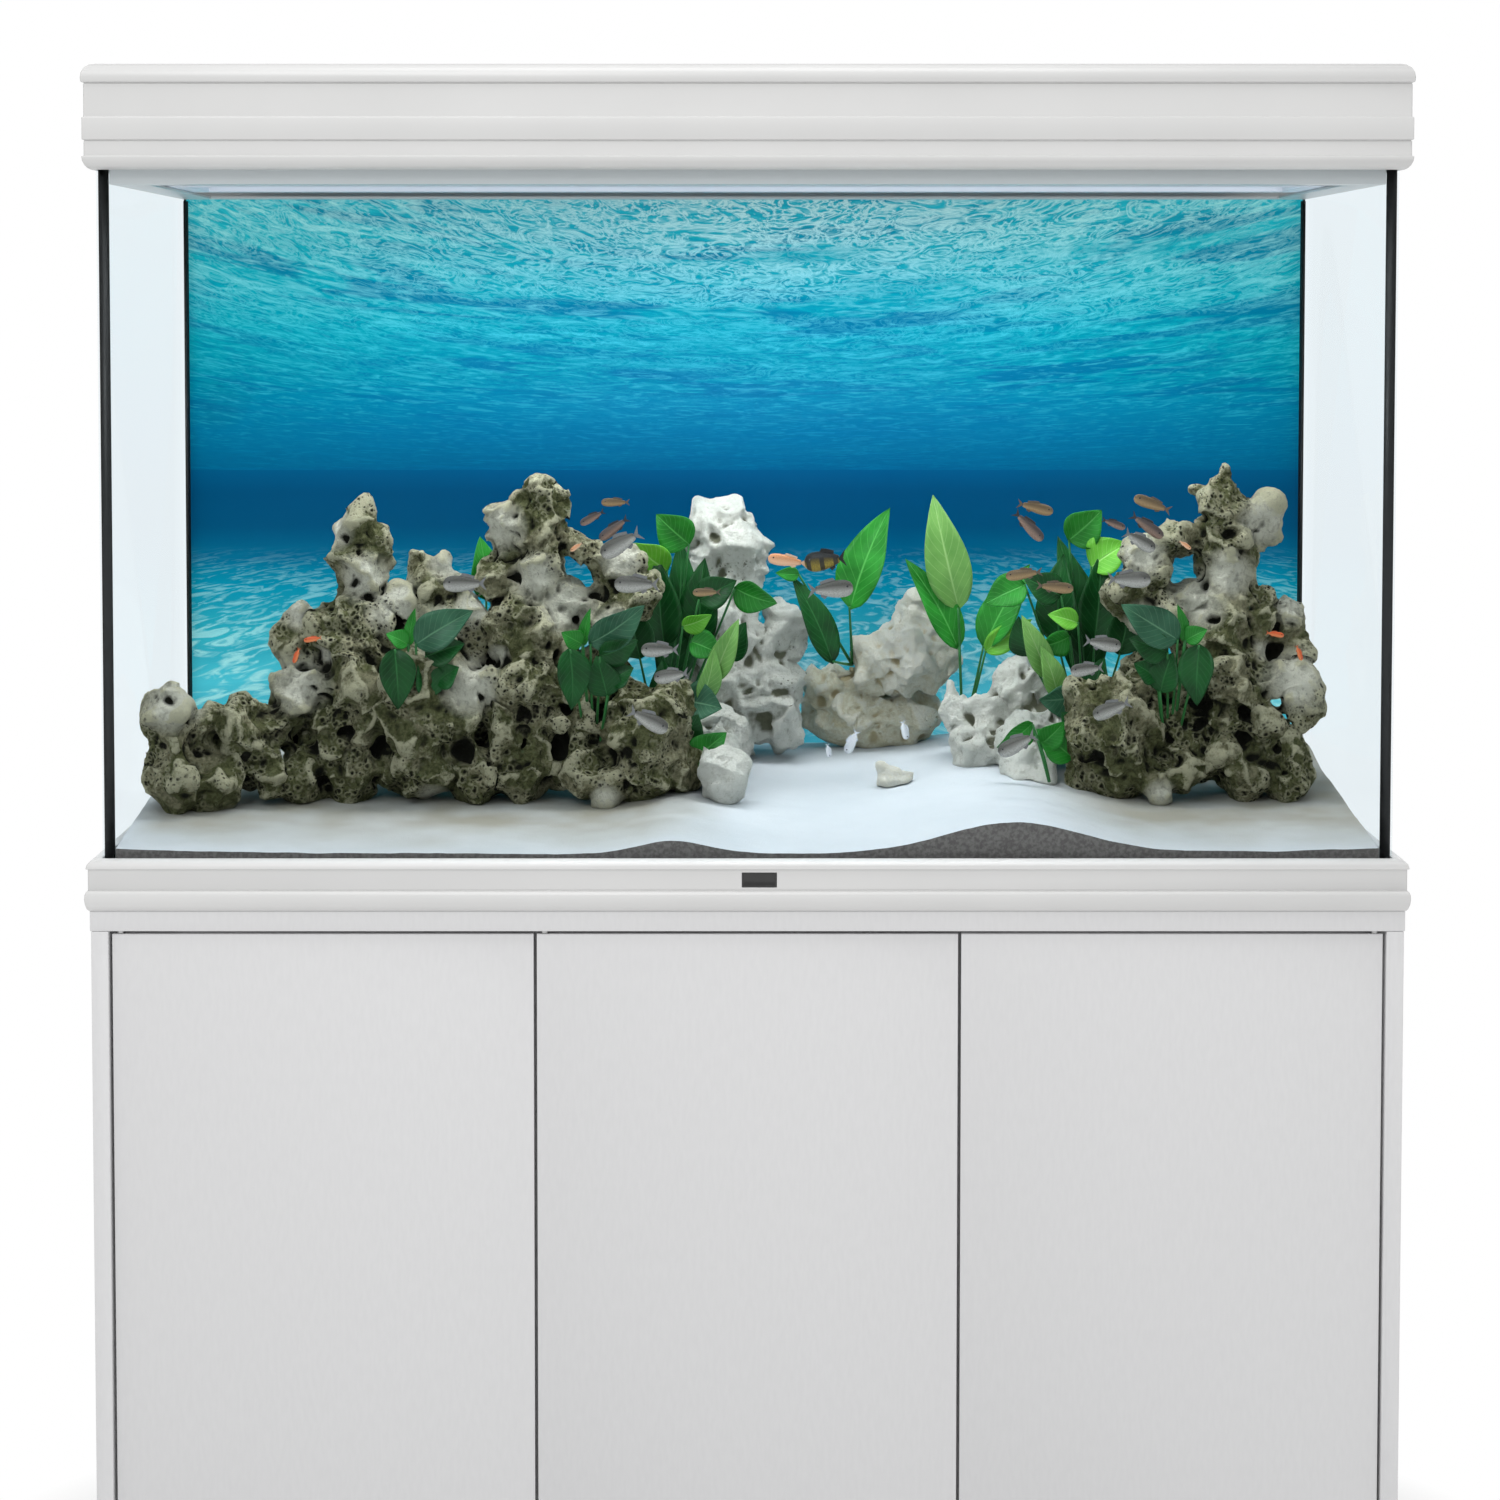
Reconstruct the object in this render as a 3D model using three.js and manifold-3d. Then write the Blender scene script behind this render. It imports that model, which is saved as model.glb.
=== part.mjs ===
// An aquarium on its cabinet: glass tank with sand, rocks and plants, a base frame and a lidded
// hood of the same ribbed trim, and a three-door cabinet with push-to-open doors.
// Millimetres, +Z up, +X to the right seen from the front, front towards -Y.
// The origin is the centre of the cabinet's footprint, on the floor.
import * as THREE from 'three';
import { mergeVertices } from 'three/addons/utils/BufferGeometryUtils.js';
import Module from 'manifold-3d';

const wasm = await Module();
wasm.setup();

// ---- driving dimensions -------------------------------------------------
const gap = 0.3;                 // air between pieces that touch

const tankWidth = 1200;          // outside of the glass
const tankDepth = 500;
const glass = 10;                // thickness of every pane
const tankFloor = 795;           // underside of the glass
const tankHeight = 685;
const seam = 2;                  // width of a glued joint between panes
const fillet = 5;                // silicone bead in the rear corners
const seamStep = 0.1;            // joined beads end this far apart, so no faces lie in one plane

const cabinetWidth = 1220;
const cabinetDepth = 520;
const cabinetHeight = 780;
const board = 16;                // side, partition and door boards
const topBoard = 19;
const plinthHeight = 80;
const plinthSetback = 40;
const doorGap = 3;
const doorSetback = 4;           // door face behind the cabinet's front edges
const doorCount = 3;
const backBoard = 8;
const backMargin = 170;          // open strip left at each end of the back board for hoses

const pinRadius = 3.7;           // door pivot pins
const pinInDoor = 20;
const pivotFromEdge = 7;         // pivot axis from the door's hinge edge
const pivotFromFace = 6;         // and from its front face
const bushRadius = 5.7;
const bushBore = 3.9;

const latchSize = 14;
const latchLength = 46;

const baseRailHeight = 48;
const baseBottom = cabinetHeight + gap;
const ledgeHeight = 14.4;        // ledge of the base frame that carries the tank

const hoodBottom = 1466;         // lower lip of the hood
const hoodCrest = 97;            // hood height above that lip
const seatHeight = 87.5;         // lids rest at this height above the lip
const seatReach = 17;            // seat's inner edge, measured inwards from the glass face
const crestReach = 7;            // inner face of the hood's crest
const flangeDrop = 13;           // inner flange below the lip
const flangeReach = 43;

const lidThickness = 3;
const lidClearance = 0.6;
const hingeY = 144;              // lid hinge axis
const hingeEdge = 6;             // lid edge in front of the axis, deck edge behind it
const knuckleRadius = 5;
const rodRadius = 2.5;
const barStem = 10;
const deckHalfWidth = 530;       // rear deck stops short of the ends for cables

const filmThickness = 0.8;

// ---- materials ----------------------------------------------------------
const finishes = {
  cabinet: [0xd6d6d6, 0.55, 0],
  trim: [0xdcdcda, 0.4, 0],
  lid: [0xd8d8d6, 0.5, 0],
  glass: [0xeaf6f6, 0.05, 0],
  silicone: [0x0a0a0a, 0.5, 0],
  steel: [0xb8bcc0, 0.35, 1],
  polymer: [0xc8c8c8, 0.5, 0],
  black: [0x0a0a0c, 0.3, 0],
  film: [0x0a6a9c, 0.35, 0],
  sand: [0xe6ebf2, 0.95, 0],
  mossRock: [0x7d7d55, 0.95, 0],
  paleRock: [0xdcdccb, 0.9, 0],
  leaf: [0x2e7d35, 0.5, 0],
  lens: [0xf4f6ff, 0.3, 0],
};

const aquarium = new THREE.Group();

function addPart(name, geometry, finish) {
  const [color, roughness, metalness] = finishes[finish];
  const mesh = new THREE.Mesh(geometry, new THREE.MeshStandardMaterial({ color, roughness, metalness }));
  mesh.name = name;
  aquarium.add(mesh);
  return mesh;
}

// ---- solid helpers ------------------------------------------------------
function toSolid(geometry) {
  const bare = geometry.clone();
  bare.deleteAttribute('normal');
  bare.deleteAttribute('uv');
  const merged = mergeVertices(bare, 1e-4);
  const vertProperties = new Float32Array(merged.attributes.position.array);
  const triVerts = new Uint32Array(merged.index.array);
  return new wasm.Manifold(new wasm.Mesh({ numProp: 3, vertProperties, triVerts }));
}

function toGeometry(solid) {
  const mesh = solid.getMesh();
  const geometry = new THREE.BufferGeometry();
  geometry.setAttribute('position', new THREE.BufferAttribute(mesh.vertProperties, 3));
  geometry.setIndex(new THREE.BufferAttribute(mesh.triVerts, 1));
  return geometry;
}

// Box between two corners given as [low, high] along each axis.
function box([x0, x1], [y0, y1], [z0, z1]) {
  const geometry = new THREE.BoxGeometry(x1 - x0, y1 - y0, z1 - z0);
  return geometry.translate((x0 + x1) / 2, (y0 + y1) / 2, (z0 + z1) / 2);
}

function uprightCylinder(radius, [z0, z1], x, y, sides = 20) {
  const geometry = new THREE.CylinderGeometry(radius, radius, z1 - z0, sides);
  return geometry.rotateX(Math.PI / 2).translate(x, y, (z0 + z1) / 2);
}

function crossCylinder(radius, [x0, x1], y, z, sides = 16) {
  const geometry = new THREE.CylinderGeometry(radius, radius, x1 - x0, sides);
  return geometry.rotateZ(Math.PI / 2).translate((x0 + x1) / 2, y, z);
}

function join(geometries) {
  return geometries.map(toSolid).reduce((all, one) => all.add(one));
}

// Trim rail: an outline of [outward, height] points swept along one side of the tank and mitred
// at 45 degrees at both ends. Height is above `bottom`, outward is from the glass face.
function mitredRail(outline, side, bottom) {
  const along = side === 'front' || side === 'back' ? tankWidth : tankDepth;
  const across = side === 'front' || side === 'back' ? tankDepth : tankWidth;
  const shape = new THREE.Shape(outline.map(([u, z]) => new THREE.Vector2(u, z)));
  const geometry = new THREE.ExtrudeGeometry(shape, { depth: 1, bevelEnabled: false });
  const position = geometry.attributes.position;
  for (let i = 0; i < position.count; i += 1) {
    const u = position.getX(i);
    const z = position.getY(i);
    const end = 1 - 2 * position.getZ(i);
    position.setXYZ(i, end * (along / 2 + u - gap), -(across / 2 + u), bottom + z);
  }
  const turn = { front: 0, right: 90, back: 180, left: 270 }[side];
  return geometry.rotateZ(THREE.MathUtils.degToRad(turn));
}

const sides = ['front', 'right', 'back', 'left'];

// ---- cabinet ------------------------------------------------------------
const cabinetFront = -cabinetDepth / 2;
const innerHalf = cabinetWidth / 2 - board;
const cabinetCeiling = cabinetHeight - topBoard;
const cabinetFloor = plinthHeight + board;
const doorPitch = (2 * innerHalf - doorGap) / doorCount;
const doorWidth = doorPitch - doorGap;
const doorBottom = cabinetFloor + doorGap;
const doorTop = cabinetCeiling - doorGap;
const doorFace = cabinetFront + doorSetback;
const doorBack = doorFace + board;
const partitionFront = doorBack + doorGap;
const backY = cabinetDepth / 2 - backBoard;

function doorSpan(index) {
  const left = -innerHalf + doorGap + index * doorPitch;
  return [left, left + doorWidth];
}

// Bores for the door bushes, shared by the cabinet's top and bottom boards.
function hingeSide(index) {
  return index === doorCount - 1 ? 1 : 0;
}

function pivotAt(index) {
  const inward = hingeSide(index) ? -pivotFromEdge : pivotFromEdge;
  return [doorSpan(index)[hingeSide(index)] + inward, doorFace + pivotFromFace];
}

const doorNames = ['left', 'middle', 'right'];
const bushDepth = 11;
const bushFlange = 1.5;

function boardWithPivotHoles(panel, radius, height) {
  let solid = toSolid(panel);
  doorNames.forEach((_, index) => {
    const [x, y] = pivotAt(index);
    solid = solid.subtract(toSolid(uprightCylinder(radius, height, x, y)));
  });
  return toGeometry(solid);
}

function makeCabinet() {
  const half = cabinetWidth / 2;
  const depth = [cabinetFront, cabinetDepth / 2];
  for (const [name, sign] of [['left', -1], ['right', 1]]) {
    const outer = [sign * half, sign * innerHalf].sort((a, b) => a - b);
    addPart(`cabinet_side_${name}`, box(outer, depth, [0, cabinetCeiling - gap]), 'cabinet');
    const middle = sign * (innerHalf - doorGap / 2 - doorPitch);
    const partition = [middle - board / 2, middle + board / 2];
    const height = [cabinetFloor + gap, cabinetCeiling - gap];
    addPart(`cabinet_partition_${name}`, box(partition, [partitionFront, backY - gap], height), 'cabinet');
  }
  const between = [-innerHalf + gap, innerHalf - gap];
  const bottom = box(between, [cabinetFront, backY - gap], [plinthHeight + gap, cabinetFloor]);
  const bottomHoles = [cabinetFloor - bushDepth, cabinetFloor + 1];
  addPart('cabinet_bottom', boardWithPivotHoles(bottom, bushRadius + 0.4, bottomHoles), 'cabinet');
  const top = box([-half - 1, half + 1], depth, [cabinetCeiling, cabinetHeight]);
  const topHoles = [cabinetCeiling - 1, cabinetCeiling + bushDepth];
  addPart('cabinet_top', boardWithPivotHoles(top, bushBore, topHoles), 'cabinet');
  const plinthFront = cabinetFront + plinthSetback;
  addPart('plinth', box(between, [plinthFront, plinthFront + board], [0, plinthHeight]), 'cabinet');
  const backHalf = innerHalf - backMargin;
  const backHeight = [plinthHeight + gap, cabinetCeiling - gap];
  addPart('cabinet_back', box([-backHalf, backHalf], [backY, cabinetDepth / 2], backHeight), 'cabinet');
}

// ---- doors, pivots and latches ------------------------------------------
function makeDoor(index) {
  const [x, y] = pivotAt(index);
  let solid = toSolid(box(doorSpan(index), [doorFace, doorBack], [doorBottom, doorTop]));
  for (const end of [[doorBottom - 1, doorBottom + pinInDoor + 1], [doorTop - pinInDoor - 1, doorTop + 1]]) {
    solid = solid.subtract(toSolid(uprightCylinder(pinRadius + 0.4, end, x, y)));
  }
  addPart(`door_${doorNames[index]}`, toGeometry(solid), 'cabinet');
}

// Flanged bush in the bottom board, which carries the door's weight. The top pin turns in a plain
// bore of the top board.
function bushProfile() {
  const low = cabinetFloor - bushDepth + gap;
  const rest = cabinetFloor + gap;
  const high = rest + bushFlange;
  const flangeRadius = bushRadius + 2;
  const outline = [
    [bushBore, low],
    [bushRadius, low],
    [bushRadius, rest],
    [flangeRadius, rest],
    [flangeRadius, high],
    [bushBore, high],
    [bushBore, low],
  ];
  return outline.map(([r, z]) => new THREE.Vector2(r, z));
}

function makePivots(index) {
  const [x, y] = pivotAt(index);
  const door = doorNames[index];
  const reach = bushDepth - 2;
  const pins = {
    top: [doorTop - pinInDoor, cabinetCeiling + reach],
    bottom: [cabinetFloor - reach, doorBottom + pinInDoor],
  };
  for (const [end, height] of Object.entries(pins)) {
    addPart(`pivot_pin_${door}_${end}`, uprightCylinder(pinRadius, height, x, y, 16), 'steel');
  }
  const bush = new THREE.LatheGeometry(bushProfile(), 20).rotateX(Math.PI / 2);
  addPart(`pivot_bush_${door}`, bush.translate(x, y, 0), 'polymer');
}

// Push latch under the top board at the door's free edge, its plunger against the door's back.
function makeLatch(index) {
  const freeEdge = doorSpan(index)[1 - hingeSide(index)];
  const x = freeEdge + (hingeSide(index) ? 30 : -30);
  const top = cabinetCeiling - gap;
  const z = top - latchSize / 2;
  const y0 = doorBack + 8;
  const width = [x - latchSize / 2, x + latchSize / 2];
  const housing = toSolid(box(width, [y0, y0 + latchLength], [top - latchSize, top]));
  const bore = uprightCylinder(3.2, [0, latchLength - 4], 0, 0, 16);
  const boreInPlace = bore.rotateX(-Math.PI / 2).translate(x, y0 - 1, z);
  addPart(`latch_${doorNames[index]}`, toGeometry(housing.subtract(toSolid(boreInPlace))), 'polymer');
  const plunger = uprightCylinder(2.8, [0, latchLength - 10], 0, 0, 14);
  const plungerInPlace = plunger.rotateX(-Math.PI / 2).translate(x, doorBack + 0.5, z);
  addPart(`plunger_${doorNames[index]}`, plungerInPlace, 'polymer');
}

// ---- base frame ---------------------------------------------------------
function baseRailOutline() {
  const top = baseRailHeight - gap;
  const shoulder = [0, 30, 60, 90].map((angle) => {
    const turn = THREE.MathUtils.degToRad(90 - angle);
    return [5.5 + 8.5 * Math.cos(turn), top - 8.5 + 8.5 * Math.sin(turn)];
  });
  const bulge = [[13.6, 18], [15, 15], [15.2, 11], [14.6, 6], [13, 1.6], [11.5, 0]];
  const outside = [[12, top - 9], [12, 20], [11.4, 19]];
  const inside = [[-22, 0], [-22, ledgeHeight], [0.6, ledgeHeight], [0.6, top]];
  return [...inside, ...shoulder, ...outside, ...bulge];
}

const displayWidth = 32;
const displayHeight = 13.5;
const displayX = 11;
const displayZ = baseBottom + 29;
const displayFace = -(tankDepth / 2 + 12);

function makeBaseFrame() {
  const outline = baseRailOutline();
  for (const side of sides) {
    let geometry = mitredRail(outline, side, baseBottom);
    if (side === 'front') {
      const width = [displayX - displayWidth / 2 - gap, displayX + displayWidth / 2 + gap];
      const height = [displayZ - displayHeight / 2 - gap, displayZ + displayHeight / 2 + gap];
      const pocket = box(width, [displayFace - 2, displayFace + 7], height);
      geometry = toGeometry(toSolid(geometry).subtract(toSolid(pocket)));
    }
    addPart(`base_rail_${side}`, geometry, 'trim');
  }
}

function makeDisplay() {
  const bezel = 1.4;
  const width = [displayX - displayWidth / 2, displayX + displayWidth / 2];
  const height = [displayZ - displayHeight / 2, displayZ + displayHeight / 2];
  const body = toSolid(box(width, [displayFace + 0.2, displayFace + 6.4], height));
  const window = [width[0] + bezel, width[1] - bezel];
  const recess = box(window, [displayFace - 1, displayFace + 1], [height[0] + bezel, height[1] - bezel]);
  addPart('thermometer_display', toGeometry(body.subtract(toSolid(recess))), 'black');
}

// ---- tank ---------------------------------------------------------------
const tankTop = tankFloor + tankHeight;
const wallX = tankWidth / 2;
const wallY = tankDepth / 2;
const innerX = wallX - glass;
const innerY = wallY - glass;

// The front pane covers the ends of the side panes, and the rear pane stands between them.
function makeTank() {
  const height = [tankFloor, tankTop];
  const betweenX = [-innerX + seam, innerX - seam];
  const betweenY = [-innerY + seam, innerY - seam];
  const sideY = [-innerY + seam, wallY];
  addPart('glass_front', box([-wallX, wallX], [-wallY, -innerY], height), 'glass');
  addPart('glass_back', box(betweenX, [innerY, wallY], height), 'glass');
  addPart('glass_left', box([-wallX, -innerX], sideY, height), 'glass');
  addPart('glass_right', box([innerX, wallX], sideY, height), 'glass');
  addPart('glass_bottom', box(betweenX, betweenY, [tankFloor, tankFloor + glass]), 'glass');
}

function acrossJoint(middle, half) {
  return [middle - half, middle + half];
}

// Bead in a rear corner of the tank, from the bottom pane up to the hood.
function cornerBead(x, grow) {
  const seamX = innerX - seam / 2;
  const face = innerX - gap - seamStep + grow;
  const overlap = 3;
  const outline = new THREE.Shape([
    new THREE.Vector2(face, innerY + overlap),
    new THREE.Vector2(seamX, innerY + overlap),
    new THREE.Vector2(seamX, innerY - gap),
    new THREE.Vector2(innerX - fillet - grow, innerY - gap),
    new THREE.Vector2(face, innerY - fillet - grow),
  ]);
  const length = hoodBottom - flangeDrop - 2 - (tankFloor + glass);
  const bead = new THREE.ExtrudeGeometry(outline, { depth: length, bevelEnabled: false });
  const solid = toSolid(bead).translate([0, 0, tankFloor + glass + gap]);
  return x < 0 ? solid.mirror([1, 0, 0]) : solid;
}

// All the black glued joints of the tank as one bead: four upright joints with a bead inside the
// rear corners, and a ring round the bottom pane. `grow` widens it for cutting neighbours.
function siliconeSolid(grow = 0) {
  const half = seam / 2 - gap + grow;
  const narrow = half - seamStep;
  const seamX = innerX - seam / 2;
  const seamY = innerY - seam / 2;
  const height = [tankFloor + gap, tankTop - 1];
  const ring = [tankFloor + gap + seamStep, tankFloor + glass - gap - seamStep];
  const crossRing = [ring[0] + seamStep, ring[1] - seamStep];
  const pieces = [];
  const beads = [];
  for (const x of [-1, 1]) {
    const frontX = [x * (wallX - gap), x * (innerX - grow)].sort((a, b) => a - b);
    pieces.push(box(frontX, acrossJoint(-seamY, half), height));
    pieces.push(box(acrossJoint(x * seamX, half), [innerY, wallY - gap], height));
    pieces.push(box(acrossJoint(x * seamX, narrow), [-seamY, innerY + 1], ring));
    beads.push(cornerBead(x, grow));
  }
  pieces.push(box([-innerX - 1, innerX + 1], acrossJoint(-seamY, narrow), crossRing));
  pieces.push(box([-seamX, seamX], acrossJoint(seamY, narrow), crossRing));
  return beads.reduce((all, bead) => all.add(bead), join(pieces));
}

// The film is laid against the outside of the rear glass.
function makeBackdrop() {
  const film = box([-innerX + 1, innerX - 1], [wallY + 0.2, wallY + 0.2 + filmThickness],
    [tankFloor + ledgeHeight + 20, hoodBottom - 2]);
  addPart('backdrop_film', film, 'film');
}

// ---- sand ---------------------------------------------------------------
// Height of the sand above the floor: rises gently to a low crest near the back, with a ripple
// and a mound against the front glass.
function sandHeight(x, y) {
  const fromFront = (y + innerY) / (2 * innerY);
  const ripple = 12 * Math.exp(-(((x + 68) / 45) ** 2));
  const mound = 30 * Math.exp(-(((x - 250) / 95) ** 2));
  const ends = 6 * (x / innerX) ** 4;
  const crest = 7 * Math.exp(-(((y - 180) / 55) ** 2));
  return 830 + ends + crest + (ripple + mound) * (1 - 0.6 * fromFront) + 46 * fromFront;
}

function sandSolid(lift = 0, spread = -0.6) {
  const width = 2 * (innerX + spread);
  const depth = 2 * (innerY + spread);
  const floor = tankFloor + glass + gap;
  const geometry = new THREE.BoxGeometry(width, depth, 1, 24, 10, 1);
  const position = geometry.attributes.position;
  for (let i = 0; i < position.count; i += 1) {
    const x = position.getX(i);
    const y = position.getY(i);
    position.setZ(i, position.getZ(i) > 0 ? sandHeight(x, y) + lift : floor);
  }
  return toSolid(geometry);
}

// ---- rocks --------------------------------------------------------------
const lumpRoughness = 0.06;
const lumpDetailArea = 1400;      // lumps that look smaller than this get fewer faces
const rockTolerance = 3;          // creases finer than this are smoothed out

// A weathered lump: a ball stretched to its radii, with its surface pushed in and out.
function lump([x, y, z, rx, ry, rz]) {
  const ball = new THREE.IcosahedronGeometry(1.04, rx * rz > lumpDetailArea ? 1 : 0);
  const position = ball.attributes.position;
  for (let i = 0; i < position.count; i += 1) {
    const [a, b, c] = [position.getX(i), position.getY(i), position.getZ(i)];
    const wave = Math.sin(3.1 * a + 0.11 * x) + Math.sin(3.7 * b + 0.07 * z) + Math.sin(4.3 * c + 0.05 * x);
    const reach = 1 + lumpRoughness * wave;
    position.setXYZ(i, x + rx * a * reach, y + ry * b * reach, z + rz * c * reach);
  }
  return ball;
}

// A tapered arm from one point to another, for horns, necks and hanging flaps.
function arm([x0, y0, z0, r0, x1, y1, z1, r1]) {
  const from = new THREE.Vector3(x0, y0, z0);
  const to = new THREE.Vector3(x1, y1, z1);
  const cone = new THREE.CylinderGeometry(r1, r0, from.distanceTo(to), 8);
  const turn = new THREE.Quaternion().setFromUnitVectors(
    new THREE.Vector3(0, 1, 0),
    to.clone().sub(from).normalize(),
  );
  return cone.applyQuaternion(turn).translate((x0 + x1) / 2, (y0 + y1) / 2, (z0 + z1) / 2);
}

// Rocks are listed as lumps [x, y, z, three radii] and arms [from, radius, to, radius], in
// millimetres, the piles from their own middle. This is the boulder on its broken footing.
const pileBase = {
  lumps: [
    [16, 12, 1012, 44, 44, 44],
    [40, 8, 1002, 28, 34, 34],
    [4, 8, 1032, 30, 32, 26],
    [-42, 14, 1022, 19, 27, 27],
    [-42, 10, 986, 18, 28, 30],
    [18, -2, 964, 44, 42, 34],
    [-48, -16, 952, 24, 30, 32],
    [-24, -16, 968, 24, 26, 16],
    [-36, -16, 876, 26, 42, 38],
    [6, -8, 878, 32, 38, 36],
    [-8, -20, 926, 22, 28, 24],
    [28, -18, 930, 28, 30, 24],
    [42, -2, 888, 20, 32, 28],
    [64, -2, 930, 26, 34, 34],
    [-10, 14, 908, 40, 30, 34],
    [90, 36, 962, 32, 24, 40],
  ],
  arms: [
    [16, 8, 1000, 40, 18, 0, 962, 38],
    [-42, 12, 1014, 17, -42, 10, 980, 18],
    [20, -2, 960, 34, 30, -8, 922, 26],
    [-6, -28, 918, 16, -14, -36, 886, 5],
    [24, -26, 918, 16, 26, -38, 888, 5],
    [62, -14, 912, 19, 76, -40, 862, 13],
    [-62, -18, 960, 12, -20, -30, 978, 10],
  ],
};

// Pitted rock leaning on its right side, with a knuckled foot.
const pittedRock = {
  lumps: [
    [130, -12, 906, 46, 46, 58],
    [148, -4, 944, 30, 34, 30],
    [104, 2, 946, 28, 32, 28],
    [160, -6, 886, 24, 34, 36],
    [92, -44, 856, 13, 14, 13],
  ],
  arms: [[112, -30, 884, 20, 92, -44, 858, 10]],
};

// Tall horned column: two horns, a thin wing on the left, an arch over to a spurred lobe.
const hornedColumn = {
  lumps: [
    [20, 18, 1062, 28, 28, 32],
    [23, 20, 1104, 29, 27, 38],
    [20, 20, 1138, 20, 19, 26],
    [-12, 24, 1120, 20, 9, 26],
    [54, 17, 1048, 26, 22, 20],
    [100, 18, 1074, 27, 22, 28],
    [114, 16, 1050, 28, 25, 28],
    [92, 10, 1030, 30, 26, 26],
  ],
  arms: [
    [18, 16, 1040, 27, 22, 20, 1092, 27],
    [22, 20, 1110, 24, 20, 20, 1140, 19],
    [21, 20, 1146, 19, 19, 20, 1176, 3],
    [26, 20, 1138, 18, 57, 20, 1154, 3],
    [0, 23, 1124, 13, -27, 24, 1140, 6],
    [36, 19, 1106, 15, 82, 19, 1100, 10],
    [88, 18, 1086, 17, 74, 18, 1110, 5],
    [104, 18, 1086, 16, 116, 18, 1106, 4],
  ],
};

// Rounded column with a saddle over to a lower spurred lobe.
const roundedColumn = {
  lumps: [
    [18, 20, 1104, 31, 28, 34],
    [22, 20, 1134, 12, 12, 9],
    [15, 18, 1062, 25, 26, 30],
    [54, 17, 1044, 26, 22, 22],
    [98, 18, 1058, 28, 22, 30],
    [112, 16, 1038, 24, 24, 26],
    [92, 10, 1024, 30, 26, 24],
  ],
  arms: [
    [14, 16, 1036, 25, 17, 20, 1094, 28],
    [84, 18, 1070, 17, 72, 18, 1096, 5],
    [96, 18, 1076, 14, 104, 18, 1092, 5],
  ],
};

// Low rocks reaching from the left pile to the end glass.
const outlyingRocks = {
  lumps: [
    [-160, -84, 946, 28, 30, 30],
    [-164, -86, 918, 22, 28, 26],
    [-155, -78, 880, 31, 34, 34],
    [-128, -60, 874, 38, 38, 34],
    [-143, -58, 920, 26, 28, 26],
    [-98, -42, 930, 32, 30, 24],
    [-90, -28, 888, 22, 30, 28],
    [-70, -24, 926, 26, 30, 26],
  ],
  arms: [
    [-146, -66, 914, 16, -148, -78, 886, 5],
    [-98, -44, 944, 9, -100, -46, 956, 4],
    [-82, -44, 942, 9, -80, -46, 954, 4],
    [-78, -40, 910, 18, -66, -48, 860, 12],
  ],
};

const leftPileAt = -401;
const middlePileAt = -230;
const rightPileAt = 500;
const rightPileLift = 4;
// Lumps that fill the hollows between the left and the middle pile.
const pileBridge = [
  [-318, -8, 892, 44, 40, 40],
  [-292, 18, 990, 34, 26, 46],
  [-310, -22, 950, 48, 34, 72],
  [-246, 16, 1072, 20, 22, 32],
];

const paleRocks = {
  rock_tall: {
    lumps: [
      [-22, 148, 1096, 38, 30, 44],
      [-46, 150, 1108, 14, 22, 26],
      [-19, 148, 1050, 36, 30, 38],
      [-30, 146, 996, 44, 34, 46],
      [-24, 150, 930, 44, 36, 52],
      [14, 158, 940, 44, 36, 46],
      [18, 160, 984, 23, 26, 20],
      [38, 150, 912, 22, 30, 38],
      [-22, -30, 874, 22, 26, 30],
      [-24, 30, 886, 22, 60, 26],
      [-24, 96, 900, 26, 40, 30],
    ],
    arms: [
      [18, 158, 996, 12, 20, 158, 1010, 3],
      [36, 160, 980, 14, 38, 160, 1030, 15],
      [-30, -32, 890, 14, -42, -34, 906, 4],
    ],
  },
  rock_slab: {
    lumps: [
      [94, 202, 942, 30, 26, 26],
      [114, 200, 912, 50, 34, 32],
      [148, 196, 908, 46, 34, 32],
      [174, 194, 908, 24, 30, 30],
      [164, 176, 978, 50, 40, 38],
      [132, 176, 970, 26, 28, 30],
      [178, 176, 1002, 28, 28, 26],
      [196, 180, 964, 24, 28, 28],
    ],
    arms: [[182, 176, 1014, 18, 184, 176, 1036, 4]],
  },
  rock_right: {
    lumps: [
      [222, 106, 922, 20, 20, 22],
      [250, 100, 916, 42, 32, 28],
      [281, 116, 948, 33, 32, 30],
      [233, 72, 888, 27, 32, 31],
      [282, 50, 898, 36, 42, 36],
      [284, 14, 870, 32, 34, 32],
      [312, 84, 910, 26, 34, 34],
    ],
    arms: [
      [218, 108, 926, 15, 209, 110, 956, 3],
      [274, 20, 862, 15, 262, 0, 852, 9],
    ],
  },
  stone_small: {
    lumps: [[150, 24, 866, 22, 16, 17]],
    arms: [[150, 24, 870, 12, 132, 24, 880, 3]],
  },
};

function rockShapes({ lumps, arms }) {
  return [...lumps.map(lump), ...arms.map(arm)];
}

// Joins the rocks of a pile and puts its middle at `across`, mirrored left to right on request.
function pile(rocks, across, mirror = false, lift = 0) {
  const solid = join(rocks.flatMap(rockShapes));
  return (mirror ? solid.mirror([1, 0, 0]) : solid).translate([across, 0, lift]);
}

// A rock standing in the sand, without the chips that the sand cuts loose.
function standInSand(rock, sand) {
  const bodies = rock.simplify(rockTolerance).subtract(sand).decompose();
  bodies.sort((a, b) => b.volume() - a.volume());
  return bodies[0];
}

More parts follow.
